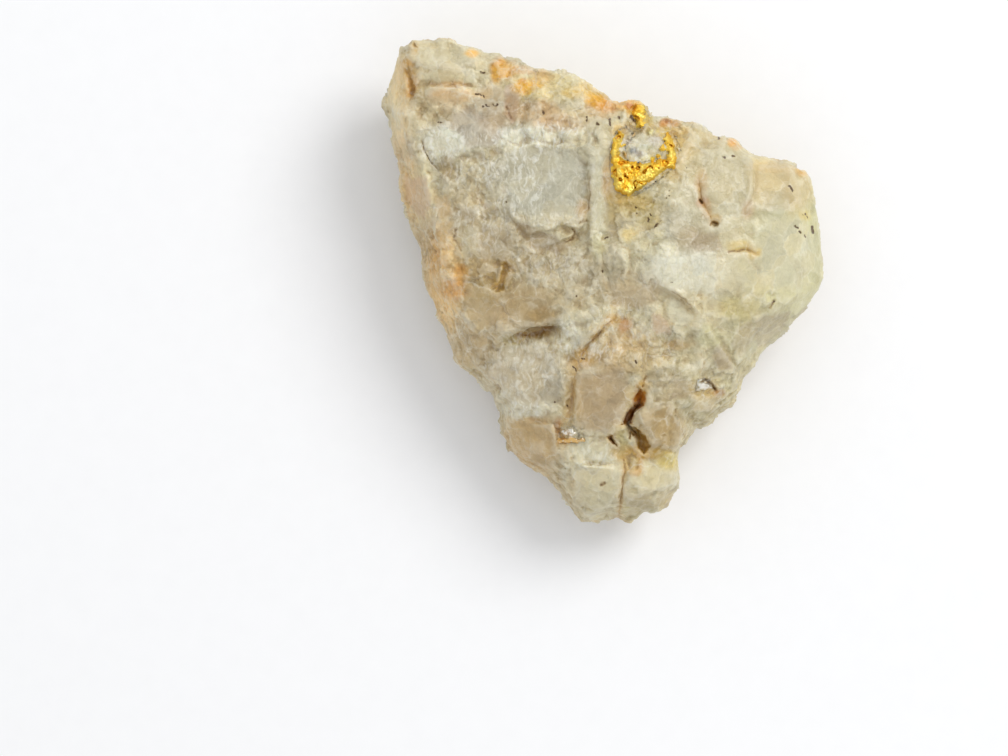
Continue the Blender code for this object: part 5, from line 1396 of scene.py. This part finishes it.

# %% [markdown]
# Bright grains
#
# Two small metallic-looking grains sit in the stone, one left of the crevice and one at the lower
# right. They look like broken, shiny mineral. The same crust function makes them thinner, with low
# ridged crests; one part is pale and pinkish, the other like bronze.

# %% The grains
LOWER_FACET = ((562, 432), (565, 428), (570, 428), (576, 433), (574, 436), (563, 436))
LOWER_STREAKS = (
    (558, 437), (566, 438), (573, 437), (581, 438), (587, 440), (578, 443), (566, 443), (559, 443),
)
RIGHT_FACETS = ((698, 384), (703, 382), (709, 384), (712, 388), (706, 390), (699, 389))


def grain_rise(flat, cover):
    inner = smooth_step(cover, CRUST_EDGE, 0.15)
    return inner * (0.22 + 0.10 * ridged(flat, 0.5, 61)) - 0.08 + noise_at(flat, 0.2, 63) * 0.05


def lower_cover(spots):
    return ragged(spots, (LOWER_FACET, LOWER_STREAKS))


def right_cover(spots):
    return ragged(spots, (RIGHT_FACETS,))


def make_grain_material():
    material, tree, shader = new_material("bright_grain")
    hollow = tree.attribute("hollow").outputs["Fac"]
    grain = add_grain(tree, 0.5, 1.0)
    bronze = tree.attribute("bronze").outputs["Fac"]
    uneven = tree.math("ADD", bronze, grain.outputs["Speckle"])
    patch = tree.ramp(uneven, 0.3, 0.7)
    colour = tree.mix(patch, rgba(linear(234, 230, 218)), rgba(linear(232, 190, 120)))
    # Painted shade: the grains' hollows are coloured dark brown.
    colour = tree.mix(tree.ramp(hollow, 0.03, 0.13), colour, rgba(linear(120, 84, 34)))
    tree.tree.links.new(colour, shader.inputs["Base Color"])
    shader.inputs["Metallic"].default_value = 0.85
    shader.inputs["Roughness"].default_value = 0.28
    return material


grain_material = make_grain_material()
lower_grain = grow_crust("bright_grain_lower", ((554, 424), (585, 448)), 0.05, lower_cover, grain_rise)
right_grain = grow_crust("bright_grain_right", ((693, 378), (716, 394)), 0.05, right_cover, grain_rise)
for piece, share in ((lower_grain, 0.66), (right_grain, 0.35)):
    below = on_stone((570, 437))[0, 1] - read_points(piece.data)[:, 1]
    store_value(piece.data, "bronze", smooth_step(below, -0.1, 0.1) * share)
    piece.data.materials.append(grain_material)

# %% [markdown]
# Tying the pieces to the measured model
#
# Every dressed piece rides with the one body of the model and stands in for its measured node.

# %% Ride and replace
DRESSED = (
    (stone, "quartz", "milky_quartz"),
    (gold_mass, "gold_mass", "native_gold"),
    (gold_bead, "gold_bead", "native_gold"),
    (lower_grain, "metal_grain_lower", "bright_grain"),
    (right_grain, "metal_grain_right", "bright_grain"),
)
for piece, node, slot in DRESSED:
    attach(piece, "root")
    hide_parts(node)

# %% [markdown]
# Floor, light and camera
#
# The stone lies on plain white. A large soft lamp stands to the upper right, so the shadow falls to the
# lower left, and a pale world fills the rest. The camera looks straight down from far away with a long
# lens, which keeps the stone's sides from spreading, and is placed over the middle of the photograph.

# %% The floor
FLOOR_SIZE = 1.2


def make_floor():
    bm = bmesh.new()
    bmesh.ops.create_grid(bm, x_segments=8, y_segments=8, size=FLOOR_SIZE / 2)
    mesh = bpy.data.meshes.new("floor")
    bm.to_mesh(mesh)
    bm.free()
    floor = bpy.data.objects.new("floor", mesh)
    bpy.context.scene.collection.objects.link(floor)
    material, tree, shader = new_material("white_paper")
    grain = add_grain(tree, 3.0, 1.0)
    fibre = tree.ramp(grain.outputs["Speckle"], -0.4, 0.6)
    colour = tree.mix(fibre, (0.93, 0.93, 0.93, 1), (0.95, 0.95, 0.95, 1))
    tree.tree.links.new(colour, shader.inputs["Base Color"])
    shader.inputs["Roughness"].default_value = 0.9
    shader.inputs["Specular IOR Level"].default_value = 0.0
    mesh.materials.append(material)
    return floor


make_floor()

# %% The lamps and the world
def add_lamp(name, place, size, power):
    data = bpy.data.lights.new(name, "AREA")
    data.shape = "DISK"
    data.size = size
    data.energy = power
    lamp = bpy.data.objects.new(name, data)
    lamp.location = place
    lamp.rotation_mode = "QUATERNION"
    lamp.rotation_quaternion = (-Vector(place)).to_track_quat("-Z", "Y")
    bpy.context.scene.collection.objects.link(lamp)
    return lamp


KEY_PLACE = (0.36, 0.30, 0.46)
KEY_SIZE = 0.36
KEY_POWER = 2.2
WORLD_COLOUR = (0.97, 0.98, 1.0, 1.0)
WORLD_STRENGTH = 0.75

add_lamp("key", KEY_PLACE, KEY_SIZE, KEY_POWER)
world = bpy.data.worlds.new("pale studio")
world.use_nodes = True
world.node_tree.nodes["Background"].inputs["Color"].default_value = WORLD_COLOUR
world.node_tree.nodes["Background"].inputs["Strength"].default_value = WORLD_STRENGTH
bpy.context.scene.world = world
bpy.context.scene.view_settings.view_transform = "Standard"

# %% The camera
IMAGE_WIDTH = 1008
IMAGE_HEIGHT = 756
CAMERA_HEIGHT = 1.5
FOCUS_HEIGHT = 0.009

image_middle = on_stone((IMAGE_WIDTH / 2, IMAGE_HEIGHT / 2))[0] * MM
camera_data = bpy.data.cameras.new("camera")
camera = bpy.data.objects.new("camera", camera_data)
camera.location = (image_middle[0], image_middle[1], CAMERA_HEIGHT)
camera_data.sensor_fit = "HORIZONTAL"
seen_width = IMAGE_WIDTH * MM_PER_PIXEL * MM
camera_data.lens = camera_data.sensor_width * (CAMERA_HEIGHT - FOCUS_HEIGHT) / seen_width
camera_data.clip_start = 0.1
bpy.context.scene.collection.objects.link(camera)
bpy.context.scene.camera = camera
print("lens, mm:", round(camera_data.lens))
